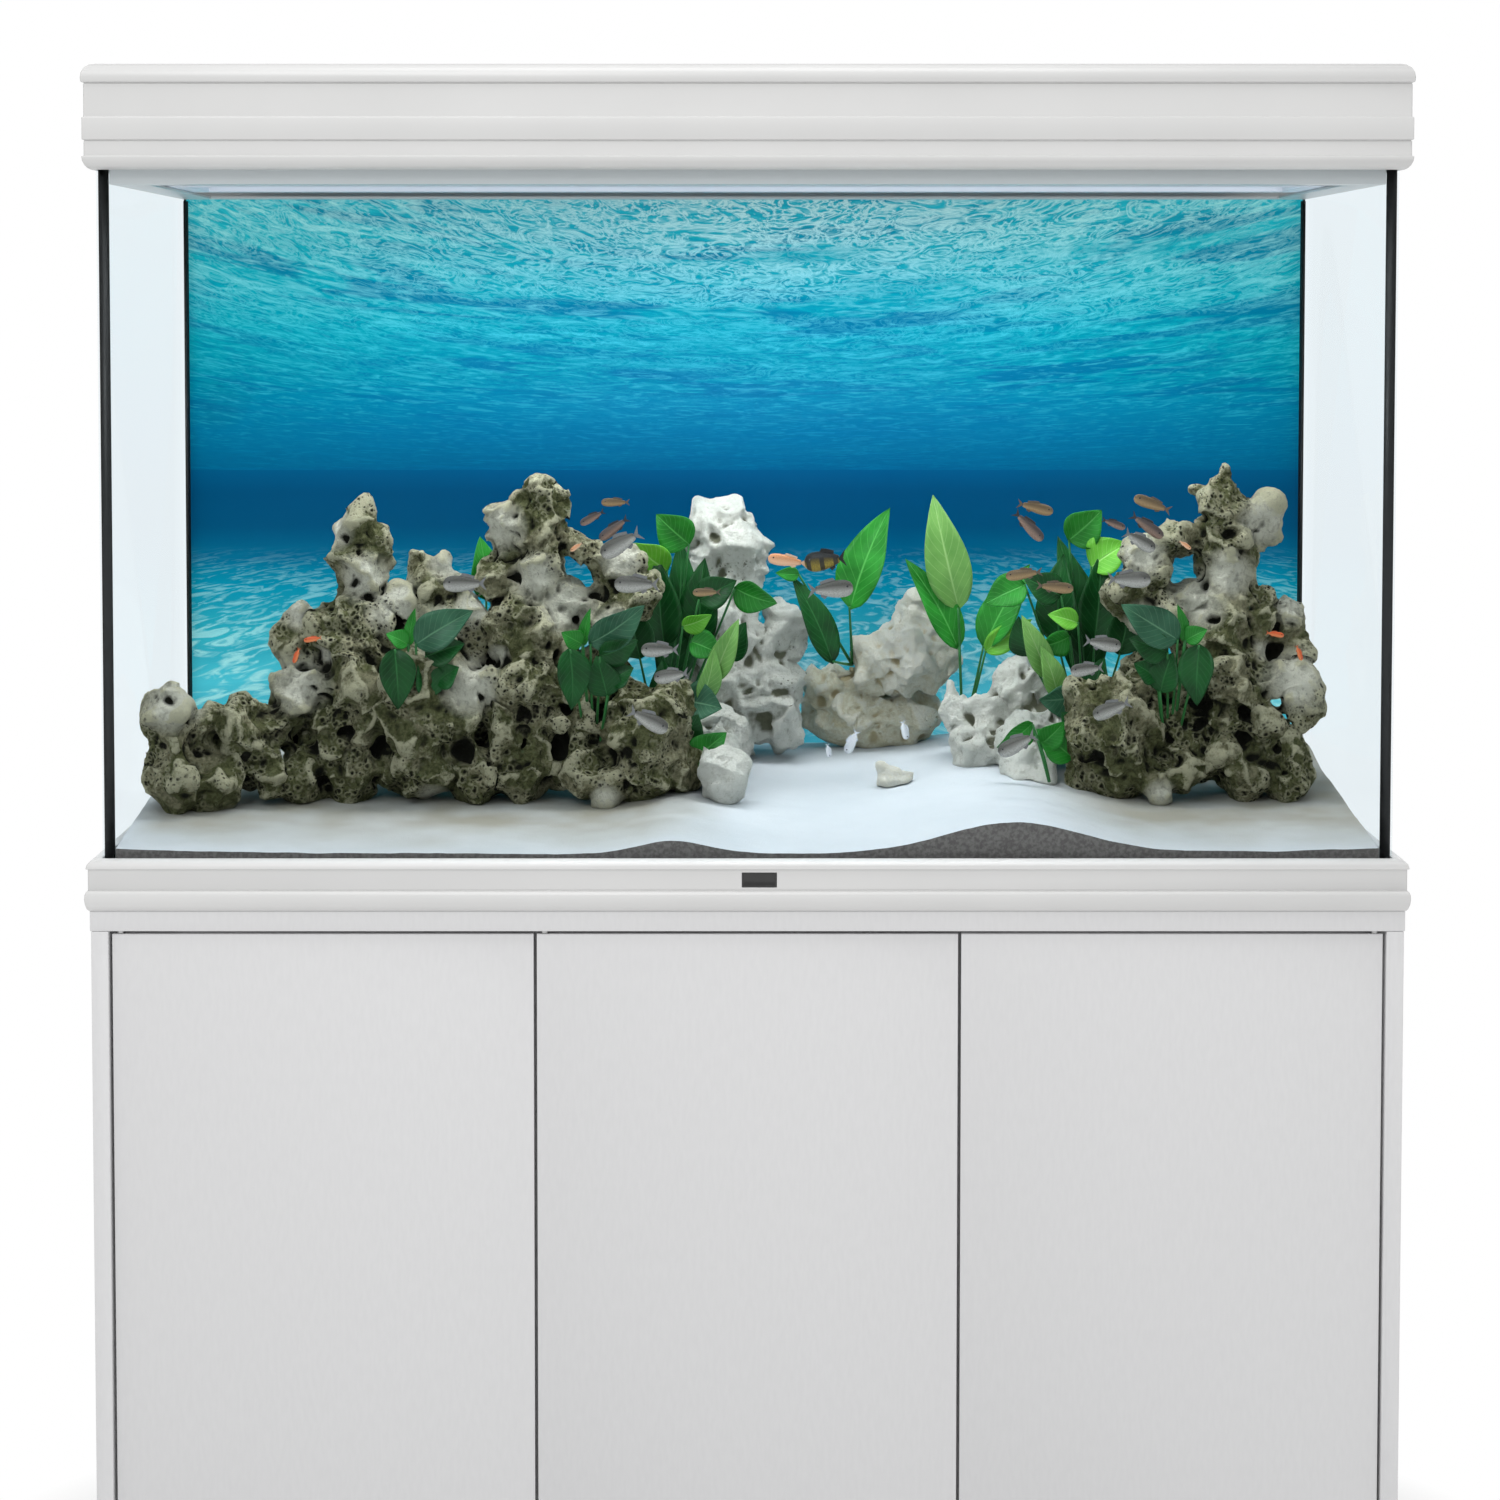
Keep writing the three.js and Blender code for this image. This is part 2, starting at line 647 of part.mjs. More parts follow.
function makeRocks() {
  const sandCutter = sandSolid(0.5);
  const left = pile([pileBase, roundedColumn, outlyingRocks], leftPileAt);
  const middle = pile([pileBase, pittedRock, hornedColumn], middlePileAt);
  const right = pile([pileBase, pittedRock, hornedColumn], rightPileAt, true, rightPileLift);
  const piles = {
    rock_pile_left: left.add(middle).add(join(pileBridge.map(lump))),
    rock_pile_right: right,
  };
  for (const [name, solid] of Object.entries(piles)) {
    addPart(name, toGeometry(standInSand(solid, sandCutter)), 'mossRock');
  }
  for (const [name, rocks] of Object.entries(paleRocks)) {
    addPart(name, toGeometry(standInSand(join(rockShapes(rocks)), sandCutter)), 'paleRock');
  }
}

// ---- plants -------------------------------------------------------------
// Each plant is a crown in the sand with stems that end in broad leaves. A leaf is given by its
// base, its tip and its width.
const plants = {
  plant_middle: {
    root: [-84, 104],
    leaves: [
      [[-96, 104, 1000], [-76, 104, 1128], 44],
      [[-112, 96, 1010], [-126, 92, 1100], 40],
      [[-92, 92, 950], [-112, 84, 1030], 34],
      [[-66, 100, 980], [-58, 96, 1060], 30],
    ],
  },
  plant_centre: {
    root: [84, 128],
    leaves: [
      [[104, 122, 1036], [142, 120, 1136], 46],
      [[86, 122, 990], [52, 120, 1066], 28],
    ],
  },
  plant_bright: {
    root: [226, 156],
    leaves: [
      [[220, 130, 1040], [192, 128, 1146], 42],
      [[240, 130, 1016], [286, 128, 1080], 36],
      [[246, 126, 990], [294, 124, 1022], 26],
    ],
  },
  plant_right: {
    root: [350, 112],
    leaves: [
      [[340, 104, 1000], [392, 104, 1122], 44],
      [[364, 96, 990], [374, 96, 1104], 44],
      [[322, 106, 986], [326, 104, 1070], 34],
      [[398, 96, 980], [424, 92, 1040], 28],
    ],
  },
};

function leafSolid([base, tip, width]) {
  const from = new THREE.Vector3(...base);
  const to = new THREE.Vector3(...tip);
  const length = from.distanceTo(to);
  const blade = new THREE.IcosahedronGeometry(1, 0).scale(width / 2, length / 2, 3);
  const turn = new THREE.Quaternion().setFromUnitVectors(
    new THREE.Vector3(0, 1, 0),
    to.clone().sub(from).normalize(),
  );
  const middle = from.clone().lerp(to, 0.5);
  return blade.applyQuaternion(turn).translate(middle.x, middle.y, middle.z);
}

function makePlants() {
  for (const [name, { root, leaves }] of Object.entries(plants)) {
    const [x, y] = root;
    const foot = sandHeight(x, y) + 14;
    const crown = new THREE.IcosahedronGeometry(9, 0).translate(x, y, foot);
    const pieces = [crown];
    for (const leaf of leaves) {
      const base = new THREE.Vector3(...leaf[0]);
      const start = base.clone().lerp(new THREE.Vector3(...leaf[1]), 0.12);
      pieces.push(arm([x, y, foot, 1.8, start.x, start.y, start.z, 1.4]));
      pieces.push(leafSolid(leaf));
    }
    addPart(name, toGeometry(join(pieces)), 'leaf');
  }
}

// ---- hood ---------------------------------------------------------------
function hoodRailOutline() {
  const lip = [[4, 0], [6.6, 1.4], [9, 4], [10.7, 7.6], [11.5, 12]];
  const bands = [
    [9.5, 12.6], [9.5, 25.5], [8.6, 26.5], [11, 27.5],
    [11, 47.5], [9.4, 48.5], [9.4, 78], [8.5, 79],
  ];
  const crest = [[11.5, 80], [12, 84], [11.2, 89], [8.6, 93.4], [4.5, 96.2], [0, hoodCrest]];
  const seat = [
    [-crestReach, hoodCrest],
    [-crestReach, seatHeight],
    [-seatReach, seatHeight],
    [-seatReach, seatHeight - 2.5],
    [-crestReach + 2.5, seatHeight - 2.5],
    [-crestReach + 2.5, hoodCrest - 2.5],
    [1, hoodCrest - 2.5],
    [6.2, 91],
    [6.2, 17.5],
  ];
  const web = tankTop - hoodBottom + gap;
  const flange = [
    [-glass - 3, 17.5],
    [-glass - 3, -flangeDrop + 2.5],
    [-flangeReach, -flangeDrop + 2.5],
    [-flangeReach, -flangeDrop],
    [-glass - 0.6, -flangeDrop],
    [-glass - 0.6, web],
    [0.6, web],
    [0.6, 0],
  ];
  return [...lip, ...bands, ...crest, ...seat, ...flange];
}

const seatZ = hoodBottom + seatHeight;
const plateZ = [seatZ + gap, seatZ + gap + lidThickness];
const hingeZ = (plateZ[0] + plateZ[1]) / 2;
const openX = wallX - crestReach - lidClearance;
const openY = wallY - crestReach - lidClearance;
const deckFront = hingeY + 8;

// Knuckles along the hinge line, each a tube with a tongue to its plate.
function knuckles(spans, plateEdge) {
  return spans.map((span) => {
    const tube = toSolid(crossCylinder(knuckleRadius, span, hingeY, hingeZ));
    const reach = [hingeY, plateEdge].sort((a, b) => a - b);
    const tongue = toSolid(box(span, reach, [hingeZ - lidThickness / 2, hingeZ + lidThickness / 2]));
    return tube.add(tongue);
  });
}

function rodHole(width = deckHalfWidth + 20) {
  return toSolid(crossCylinder(rodRadius + 0.4, [-width, width], hingeY, hingeZ));
}

const knuckleLength = 40;
const knuckleClearance = 0.6;
const knucklePlaces = [60, 260, 460];

function makeLid(name, sign) {
  const inner = barStem / 2 + lidClearance;
  const width = [sign * inner, sign * openX].sort((a, b) => a - b);
  const middle = (width[0] + width[1]) / 2;
  const plate = toSolid(box(width, [-openY, hingeY - hingeEdge], plateZ));
  const ribOuter = 12;
  const ribX = [width[0] + ribOuter + 6, width[1] - ribOuter - 6];
  const ribY = [-openY + ribOuter + 2, hingeY - hingeEdge - 12];
  const ribZ = [plateZ[0] - 8, plateZ[0] + 1];
  const ribs = toSolid(box(ribX, ribY, ribZ));
  const inside = [[ribX[0] + 3, ribX[1] - 3], [ribY[0] + 3, ribY[1] - 3]];
  const hollow = toSolid(box(...inside, [ribZ[0] - 1, plateZ[0]]));
  const notchDepth = 34;
  const notch = [
    box([middle - 32, middle + 32], [-openY - 1, -openY + notchDepth - 12], [ribZ[0] - 1, plateZ[1] + 1]),
    uprightCylinder(20, [ribZ[0] - 1, plateZ[1] + 1], middle, -openY + notchDepth - 20, 24),
  ];
  let lid = plate.add(ribs.subtract(hollow)).subtract(join(notch));
  const places = knucklePlaces.map((place) => {
    const start = sign > 0 ? place : -place - knuckleLength;
    return [start, start + knuckleLength];
  });
  for (const knuckle of knuckles(places, hingeY - hingeEdge - 1)) {
    lid = lid.add(knuckle);
  }
  addPart(name, toGeometry(lid.subtract(rodHole())), 'lid');
}

function makeDeck() {
  let deck = toSolid(box([-deckHalfWidth, deckHalfWidth], [deckFront, openY], plateZ));
  const spans = [];
  for (const place of knucklePlaces) {
    const start = place + knuckleLength + knuckleClearance;
    spans.push([start, start + knuckleLength / 2], [-start - knuckleLength / 2, -start]);
  }
  for (const knuckle of knuckles(spans, deckFront + 1)) {
    deck = deck.add(knuckle);
  }
  addPart('hood_deck', toGeometry(deck.subtract(rodHole())), 'lid');
}

function makeCentreBar() {
  const back = deckFront - gap;
  const underLids = [-wallY + seatReach + gap, back];
  const stemWidth = [-barStem / 2, barStem / 2];
  const flange = box([-20, 20], underLids, [seatZ - 2.5, seatZ]);
  const stem = box(stemWidth, [-openY, back], [seatZ + gap, seatZ + 9]);
  const root = box(stemWidth, underLids, [seatZ - 1, seatZ + 1]);
  addPart('hood_centre_bar', toGeometry(join([flange, stem, root]).subtract(rodHole())), 'trim');
}

function makeHood() {
  for (const side of sides) {
    addPart(`hood_rail_${side}`, mitredRail(hoodRailOutline(), side, hoodBottom), 'trim');
  }
  makeDeck();
  makeCentreBar();
  makeLid('lid_left', -1);
  makeLid('lid_right', 1);
  const rod = crossCylinder(rodRadius, [-deckHalfWidth, deckHalfWidth], hingeY, hingeZ, 14);
  addPart('lid_hinge_rod', rod, 'steel');
}

// ---- lamp ---------------------------------------------------------------
const lampHalfWidth = 582;
const lampHalfDepth = 90;
const lampBottom = hoodBottom - flangeDrop + 2.5 + gap;

function makeLamp() {
  const outside = [[-lampHalfWidth, lampHalfWidth], [-lampHalfDepth, lampHalfDepth]];
  const body = box(...outside, [lampBottom, lampBottom + 26]);
  const shaft = [[-540, 540], [-lampHalfDepth + 20, lampHalfDepth - 20]];
  const recess = box(...shaft, [lampBottom - 1, lampBottom + 18]);
  addPart('lamp_housing', toGeometry(toSolid(body).subtract(toSolid(recess))), 'trim');
  const inset = 0.5;
  const lens = box([-540 + inset, 540 - inset], [shaft[1][0] + inset, shaft[1][1] - inset],
    [lampBottom + 12, lampBottom + 16]);
  addPart('lamp_lens', lens, 'lens');
}

// ---- assembly -----------------------------------------------------------
makeCabinet();
doorNames.forEach((_, index) => {
  makeDoor(index);
  makePivots(index);
  makeLatch(index);
});
makeBaseFrame();
makeDisplay();
makeTank();
addPart('silicone_joints', toGeometry(siliconeSolid()), 'silicone');
makeBackdrop();
addPart('sand_bed', toGeometry(sandSolid().subtract(siliconeSolid(gap))), 'sand');
makeRocks();
makePlants();
makeHood();
makeLamp();

export default aquarium;
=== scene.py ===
import math

import bmesh
import bpy
import numpy as np
from mathutils import Matrix, Vector


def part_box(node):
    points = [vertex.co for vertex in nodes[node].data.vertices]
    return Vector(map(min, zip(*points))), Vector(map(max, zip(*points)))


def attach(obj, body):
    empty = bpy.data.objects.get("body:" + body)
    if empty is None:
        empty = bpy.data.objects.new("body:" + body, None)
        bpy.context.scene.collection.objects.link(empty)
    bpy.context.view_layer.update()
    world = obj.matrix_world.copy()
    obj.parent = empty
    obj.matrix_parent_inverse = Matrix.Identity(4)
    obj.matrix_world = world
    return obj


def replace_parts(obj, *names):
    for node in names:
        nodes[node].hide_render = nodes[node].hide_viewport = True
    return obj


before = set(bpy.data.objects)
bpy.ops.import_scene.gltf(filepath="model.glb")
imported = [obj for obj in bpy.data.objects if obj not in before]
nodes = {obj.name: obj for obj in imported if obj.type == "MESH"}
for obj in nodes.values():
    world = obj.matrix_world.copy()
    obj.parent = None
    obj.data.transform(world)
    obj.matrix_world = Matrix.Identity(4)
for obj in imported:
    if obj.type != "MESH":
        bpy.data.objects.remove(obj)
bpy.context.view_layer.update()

MM = 0.001
ROOT = "aquarium"
WELD_REACH = 0.00002


# ---- camera -------------------------------------------------------------
CAMERA_PLACE = (-0.024, -3.692, 1.338)
CAMERA_TILT = math.radians(86.55)
CAMERA_LENS = 89.4                    # focal length in mm, on a sensor 36 mm wide
CAMERA_SHIFT = (0.0189, -0.1442)


def add_camera():
    data = bpy.data.cameras.new("camera")
    data.sensor_width = 36.0
    data.lens = CAMERA_LENS
    data.shift_x, data.shift_y = CAMERA_SHIFT
    camera = bpy.data.objects.new("camera", data)
    camera.location = CAMERA_PLACE
    camera.rotation_euler = (CAMERA_TILT, 0.0, 0.0)
    bpy.context.scene.collection.objects.link(camera)
    bpy.context.scene.camera = camera


add_camera()


# ---- material helpers ---------------------------------------------------
class Look:
    """A node material around one Principled shader, with short calls for what feeds it."""

    def __init__(self, name, **fixed):
        self.material = bpy.data.materials.new(name)
        self.material.use_nodes = True
        self.tree = self.material.node_tree
        self.shader = self.tree.nodes["Principled BSDF"]
        self.output = self.tree.nodes["Material Output"]
        self.place = self.new("ShaderNodeTexCoord").outputs["Object"]
        for socket, value in fixed.items():
            self.shader.inputs[socket.replace("_", " ")].default_value = value

    def new(self, kind, **settings):
        node = self.tree.nodes.new(kind)
        for key, value in settings.items():
            setattr(node, key, value)
        return node

    def feed(self, socket, value):
        if isinstance(value, bpy.types.NodeSocket):
            self.tree.links.new(value, socket)
        else:
            socket.default_value = value

    def math(self, operation, a, b=0.0, clamp=False):
        node = self.new("ShaderNodeMath", operation=operation, use_clamp=clamp)
        self.feed(node.inputs[0], a)
        self.feed(node.inputs[1], b)
        return node.outputs[0]

    def times(self, a, b, clamp=False):
        return self.math("MULTIPLY", a, b, clamp)

    def minus(self, a, b, clamp=False):
        return self.math("SUBTRACT", a, b, clamp)

    def plus(self, a, b):
        return self.math("ADD", a, b)

    def stretched(self, scale, place=None):
        node = self.new("ShaderNodeMapping")
        self.feed(node.inputs["Vector"], place or self.place)
        node.inputs["Scale"].default_value = scale
        return node.outputs[0]

    def noise(self, size, detail=3.0, roughness=0.55, distortion=0.0, place=None):
        node = self.new("ShaderNodeTexNoise")
        self.feed(node.inputs["Vector"], place or self.place)
        node.inputs["Scale"].default_value = 1.0 / size
        node.inputs["Detail"].default_value = detail
        node.inputs["Roughness"].default_value = roughness
        node.inputs["Distortion"].default_value = distortion
        return node.outputs["Fac"]

    def warped(self, size, amount):
        """The object's coordinates, pushed about by noise of the given size."""
        node = self.new("ShaderNodeTexNoise")
        self.feed(node.inputs["Vector"], self.place)
        node.inputs["Scale"].default_value = 1.0 / size
        push = self.new("ShaderNodeVectorMath", operation="MULTIPLY_ADD")
        self.feed(push.inputs[0], node.outputs["Color"])
        push.inputs[1].default_value = (amount, amount, amount)
        self.feed(push.inputs[2], self.place)
        return push.outputs[0]

    def cells(self, size, place=None):
        node = self.new("ShaderNodeTexVoronoi")
        self.feed(node.inputs["Vector"], place or self.place)
        node.inputs["Scale"].default_value = 1.0 / size
        return node.outputs["Distance"]

    def ramp(self, fac, *stops):
        node = self.new("ShaderNodeValToRGB")
        self.feed(node.inputs["Fac"], fac)
        elements = node.color_ramp.elements
        while len(elements) < len(stops):
            elements.new(0.5)
        for element, (position, colour) in zip(elements, stops):
            element.position = position
            element.color = (*colour, 1.0) if isinstance(colour, tuple) else (colour, colour, colour, 1.0)
        return node.outputs["Color"]

    def rise(self, fac, low, high):
        return self.ramp(fac, (low, 0.0), (high, 1.0))

    def mix(self, fac, a, b, blend="MIX"):
        node = self.new("ShaderNodeMix", data_type="RGBA", blend_type=blend)
        self.feed(node.inputs[0], fac)
        for socket, value in ((node.inputs[6], a), (node.inputs[7], b)):
            self.feed(socket, (*value, 1.0) if isinstance(value, tuple) else value)
        return node.outputs[2]

    def part(self, axis, place=None):
        node = self.new("ShaderNodeSeparateXYZ")
        self.feed(node.inputs[0], place or self.place)
        return node.outputs[axis]

    def join(self, x, y, z):
        node = self.new("ShaderNodeCombineXYZ")
        for socket, value in zip(node.inputs, (x, y, z)):
            self.feed(socket, value)
        return node.outputs[0]

    def attribute(self, name):
        return self.new("ShaderNodeAttribute", attribute_name=name).outputs["Fac"]

    def colour(self, value):
        self.feed(self.shader.inputs["Base Color"], value)
        return self

    def roughness(self, value):
        self.feed(self.shader.inputs["Roughness"], value)
        return self

    def blend(self, fac, first, second):
        """Puts a mix of two shaders on the output."""
        node = self.new("ShaderNodeMixShader")
        self.feed(node.inputs[0], fac)
        self.tree.links.new(first, node.inputs[1])
        self.tree.links.new(second, node.inputs[2])
        self.tree.links.new(node.outputs[0], self.output.inputs["Surface"])
        return self

    def bump(self, height, depth, strength=1.0):
        node = self.new("ShaderNodeBump")
        self.feed(node.inputs["Height"], height)
        node.inputs["Distance"].default_value = depth
        node.inputs["Strength"].default_value = strength
        previous = self.shader.inputs["Normal"]
        if previous.is_linked:
            self.tree.links.new(previous.links[0].from_socket, node.inputs["Normal"])
        self.tree.links.new(node.outputs["Normal"], previous)
        return self


# ---- finishes of the CAD pieces -----------------------------------------
GLASS_TINT = (0.958, 0.978, 0.987)    # what one face of a pane lets through
GLASS_TINT_THIN = (0.96, 0.98, 0.989)


def laminate():
    look = Look("cabinet_laminate")
    cloud = look.noise(0.5, 2)
    fibre = look.noise(0.004, 3, place=look.stretched((1.0, 1.0, 0.25)))
    tone = look.mix(look.rise(fibre, 0.35, 0.65), (0.655, 0.655, 0.66), (0.675, 0.675, 0.68))
    look.colour(look.mix(look.times(cloud, 0.2), tone, (0.64, 0.64, 0.65)))
    look.roughness(look.ramp(fibre, (0.3, 0.46), (0.7, 0.54)))
    return look.bump(look.noise(0.0011, 2), 0.00008, 0.3).material


def satin_paint(name, light):
    look = Look(name, Coat_Weight=0.12, Coat_Roughness=0.25)
    cloud = look.noise(0.12, 4)
    grain = look.noise(0.0009, 2)
    dark = light - 0.02
    look.colour(look.ramp(cloud, (0.3, (dark, dark, dark - 0.005)), (0.7, (light, light, light - 0.005))))
    look.roughness(look.ramp(grain, (0.3, 0.3), (0.7, 0.38)))
    return look.bump(grain, 0.00006, 0.4).material


def trim_paint():
    return satin_paint("trim_paint", 0.655)


# The hood has the same paint as the base rails; this darker copy of it is painted shade.
def trim_paint_painted_shade():
    return satin_paint("trim_paint_painted_shade", 0.61)


def lid_plastic():
    look = Look("lid_plastic")
    grain = look.cells(0.0014)
    look.colour(look.ramp(look.noise(0.15, 3), (0.3, 0.66), (0.7, 0.7)))
    look.roughness(look.ramp(look.noise(0.02, 3), (0.3, 0.42), (0.7, 0.52)))
    return look.bump(grain, 0.0002, 0.5).material


def lamp_shell():
    look = Look("lamp_shell")
    look.colour(look.ramp(look.noise(0.1, 3), (0.3, (0.74, 0.76, 0.83)), (0.7, (0.78, 0.80, 0.87))))
    look.roughness(look.ramp(look.noise(0.01, 2), (0.3, 0.4), (0.7, 0.5)))
    return look.bump(look.noise(0.002, 2), 0.0001, 0.3).material


def lamp_diffuser():
    look = Look("lamp_diffuser", Emission_Strength=0.5)
    rows = look.cells(0.03, place=look.stretched((1.0, 1.6, 0.0)))
    glow = look.ramp(rows, (0.0, (1.0, 1.0, 1.0)), (1.0, (0.72, 0.8, 0.95)))
    look.feed(look.shader.inputs["Emission Color"], glow)
    look.colour(look.ramp(rows, (0.0, 0.9), (1.0, 0.8)))
    return look.roughness(0.4).material


def clear_glass():
    """Clear float glass: faintly tinted, with a weak sheen that grows towards grazing angles."""
    look = Look("tank_glass", Metallic=1.0, Roughness=0.02)
    haze = look.noise(0.6, 2)
    look.colour(look.ramp(haze, (0.3, (0.90, 0.95, 0.96)), (0.7, (0.93, 0.97, 0.98))))
    clear = look.new("ShaderNodeBsdfTransparent")
    look.feed(clear.inputs["Color"], look.ramp(haze, (0.3, GLASS_TINT), (0.7, GLASS_TINT_THIN)))
    gloss = look.new("ShaderNodeFresnel")
    gloss.inputs["IOR"].default_value = 1.45
    rise = look.math("MAXIMUM", look.minus(gloss.outputs[0], 0.036), 0.0)
    sheen = look.math("MINIMUM", look.times(rise, 0.5), 0.035)
    look.blend(sheen, clear.outputs[0], look.shader.outputs[0])
    return look.material


def silicone():
    look = Look("silicone")
    look.colour(look.ramp(look.noise(0.02, 3), (0.3, 0.004), (0.7, 0.008)))
    look.roughness(look.ramp(look.noise(0.01, 2), (0.3, 0.35), (0.7, 0.5)))
    return look.bump(look.noise(0.004, 3), 0.0003, 0.4).material


def steel():
    look = Look("steel", Metallic=1.0)
    turned = look.noise(0.002, 3, place=look.stretched((1.0, 1.0, 0.1)))
    look.colour(look.ramp(turned, (0.3, 0.5), (0.7, 0.62)))
    return look.roughness(look.ramp(turned, (0.3, 0.25), (0.7, 0.4))).material


def fitting_plastic():
    look = Look("fitting_plastic")
    look.colour(look.ramp(look.noise(0.01, 3), (0.3, 0.5), (0.7, 0.56)))
    look.roughness(look.ramp(look.noise(0.004, 2), (0.3, 0.4), (0.7, 0.55)))
    return look.bump(look.noise(0.0008, 2), 0.0001, 0.4).material


def display_window():
    look = Look("display_window", Coat_Weight=0.5, Coat_Roughness=0.05)
    look.colour(look.ramp(look.noise(0.01, 3), (0.3, 0.004), (0.7, 0.009)))
    return look.roughness(look.ramp(look.noise(0.006, 3), (0.3, 0.12), (0.7, 0.22))).material


# ---- backdrop print -----------------------------------------------------
HORIZON = 1.168
SEA_TOP, SEA_FLOOR = 1.464, 0.93
PRINT_SHADE = 0.45     # share of the print's colour that the room light brings out
PRINT_PAINTED_BACKLIGHT = 0.55      # painted glow: share of the print's colour that it gives off itself, standing in for light from behind
SIDE_LIFT = (1.05, 1.26, 1.16)    # how much paler the print is towards its two ends


def water_above(look, x, z):
    """The rippled surface seen from below, running back to the horizon."""
    bend = look.times(look.times(x, x), 0.7)
    rise = look.math("MAXIMUM", look.minus(z, HORIZON - 0.03), 0.012)
    rise = look.minus(rise, look.times(bend, rise))
    deep = look.math("LOGARITHM", rise, math.e)
    wide = look.math("DIVIDE", x, look.math("SQRT", rise))
    plane = look.join(wide, deep, 0.0)
    swell = look.noise(1.0, 3, 0.5, 0.5, look.stretched((1.0, 4.6, 1.0), plane))
    strand = look.noise(1.0, 3, 0.5, 0.7, look.stretched((1.9, 9.5, 1.0), plane))
    ripple = look.noise(1.0, 4, 0.62, 1.5, look.stretched((9.0, 30.0, 1.0), plane))
    curl = look.noise(1.0, 5, 0.6, 2.6, look.stretched((13.0, 17.0, 1.0), plane))
    height = look.math("DIVIDE", look.minus(z, HORIZON), SEA_TOP - HORIZON)
    base = look.ramp(
        height,
        (0.0, (0.0, 0.105, 0.245)), (0.13, (0.0, 0.15, 0.31)), (0.245, (0.0, 0.21, 0.37)),
        (0.36, (0.0, 0.27, 0.39)), (0.48, (0.0, 0.32, 0.43)), (0.65, (0.003, 0.38, 0.49)),
        (0.82, (0.015, 0.44, 0.54)), (1.0, (0.03, 0.53, 0.66)),
    )
    shadow = look.ramp(strand, (0.42, 1.0), (0.49, 0.0))
    shadow = look.times(shadow, look.ramp(swell, (0.46, 1.0), (0.60, 0.15)))
    shadow = look.times(shadow, look.ramp(height, (0.05, 0.35), (0.25, 0.9), (0.9, 0.6)))
    lined = look.mix(shadow, base, (0.0, 0.15, 0.32))
    fine = look.ramp(ripple, (0.38, 1.0), (0.48, 0.0))
    fine = look.times(fine, look.ramp(height, (0.03, 0.2), (0.3, 0.7), (0.8, 0.25)))
    lined = look.mix(fine, lined, (0.0, 0.17, 0.33))
    open_patch = look.rise(look.plus(swell, look.times(height, 0.25)), 0.5, 0.68)
    off_line = look.math("ABSOLUTE", look.minus(curl, 0.5))
    net = look.minus(1.0, look.times(off_line, 12.0), True)
    streak = look.rise(ripple, 0.5, 0.66)
    light = look.ramp(height, (0.0, (0.0, 0.34, 0.52)), (0.5, (0.08, 0.62, 0.76)), (1.0, (0.72, 0.97, 0.93)))
    centre = look.ramp(look.math("ABSOLUTE", x), (0.05, 1.0), (0.50, 0.45))
    swirl = look.times(net, open_patch)
    swirl = look.times(swirl, look.ramp(height, (0.2, 0.1), (0.5, 0.6), (0.85, 1.0)))
    swirl = look.times(swirl, centre, True)
    glow = look.times(streak, look.ramp(height, (0.0, 0.18), (0.3, 0.45), (1.0, 0.5)))
    return look.mix(swirl, look.mix(glow, lined, light), light)


def water_below(look, x, z):
    """Light flecks on the sea floor, running back to the same horizon."""
    fall = look.math("MAXIMUM", look.minus(HORIZON - 0.03, z), 0.01)
    deep = look.math("LOGARITHM", fall, math.e)
    wide = look.math("DIVIDE", x, look.math("SQRT", fall))
    plane = look.join(wide, deep, 3.0)
    fleck = look.noise(1.0, 3, 0.5, 1.4, look.stretched((15.0, 14.0, 1.0), plane))
    broad = look.noise(1.0, 2, 0.5, 0.5, look.stretched((3.0, 5.0, 1.0), plane))
    depth = look.math("DIVIDE", look.minus(HORIZON, z), HORIZON - SEA_FLOOR)
    base = look.ramp(
        depth,
        (0.0, (0.0, 0.095, 0.235)), (0.10, (0.0, 0.074, 0.19)), (0.25, (0.0, 0.082, 0.20)),
        (0.39, (0.0, 0.14, 0.28)), (0.53, (0.0, 0.30, 0.46)), (0.74, (0.04, 0.46, 0.59)),
        (1.0, (0.11, 0.62, 0.78)),
    )
    shine = look.rise(fleck, 0.48, 0.64)
    shine = look.times(shine, look.ramp(depth, (0.34, 0.0), (0.55, 0.4), (0.85, 0.8)))
    dim = look.times(look.ramp(broad, (0.35, 0.35), (0.6, 0.0)), look.rise(depth, 0.3, 0.5))
    return look.mix(shine, look.mix(dim, base, (0.005, 0.27, 0.42)), (0.52, 0.86, 0.90))


def backdrop_print():
    """Print of open water: the surface overhead, a dark distance and a bright sea floor."""
    look = Look("backdrop_print", Specular_IOR_Level=0.05, Emission_Strength=PRINT_PAINTED_BACKLIGHT)
    x = look.minus(look.part("X"), 0.05)
    z = look.part("Z")
    above = look.math("GREATER_THAN", z, HORIZON)
    picture = look.mix(above, water_below(look, x, z), water_above(look, x, z))
    side = look.rise(look.math("ABSOLUTE", look.part("X")), 0.15, 0.6)
    picture = look.mix(side, picture, look.mix(1.0, picture, SIDE_LIFT, "MULTIPLY"))
    look.colour(look.mix(1.0, picture, (PRINT_SHADE, PRINT_SHADE, PRINT_SHADE), "MULTIPLY"))
    # Painted light: the print glows with its own colours, as if lit from behind.
    look.feed(look.shader.inputs["Emission Color"], picture)
    return look.roughness(look.ramp(look.noise(0.05, 3), (0.3, 0.5), (0.7, 0.6))).material


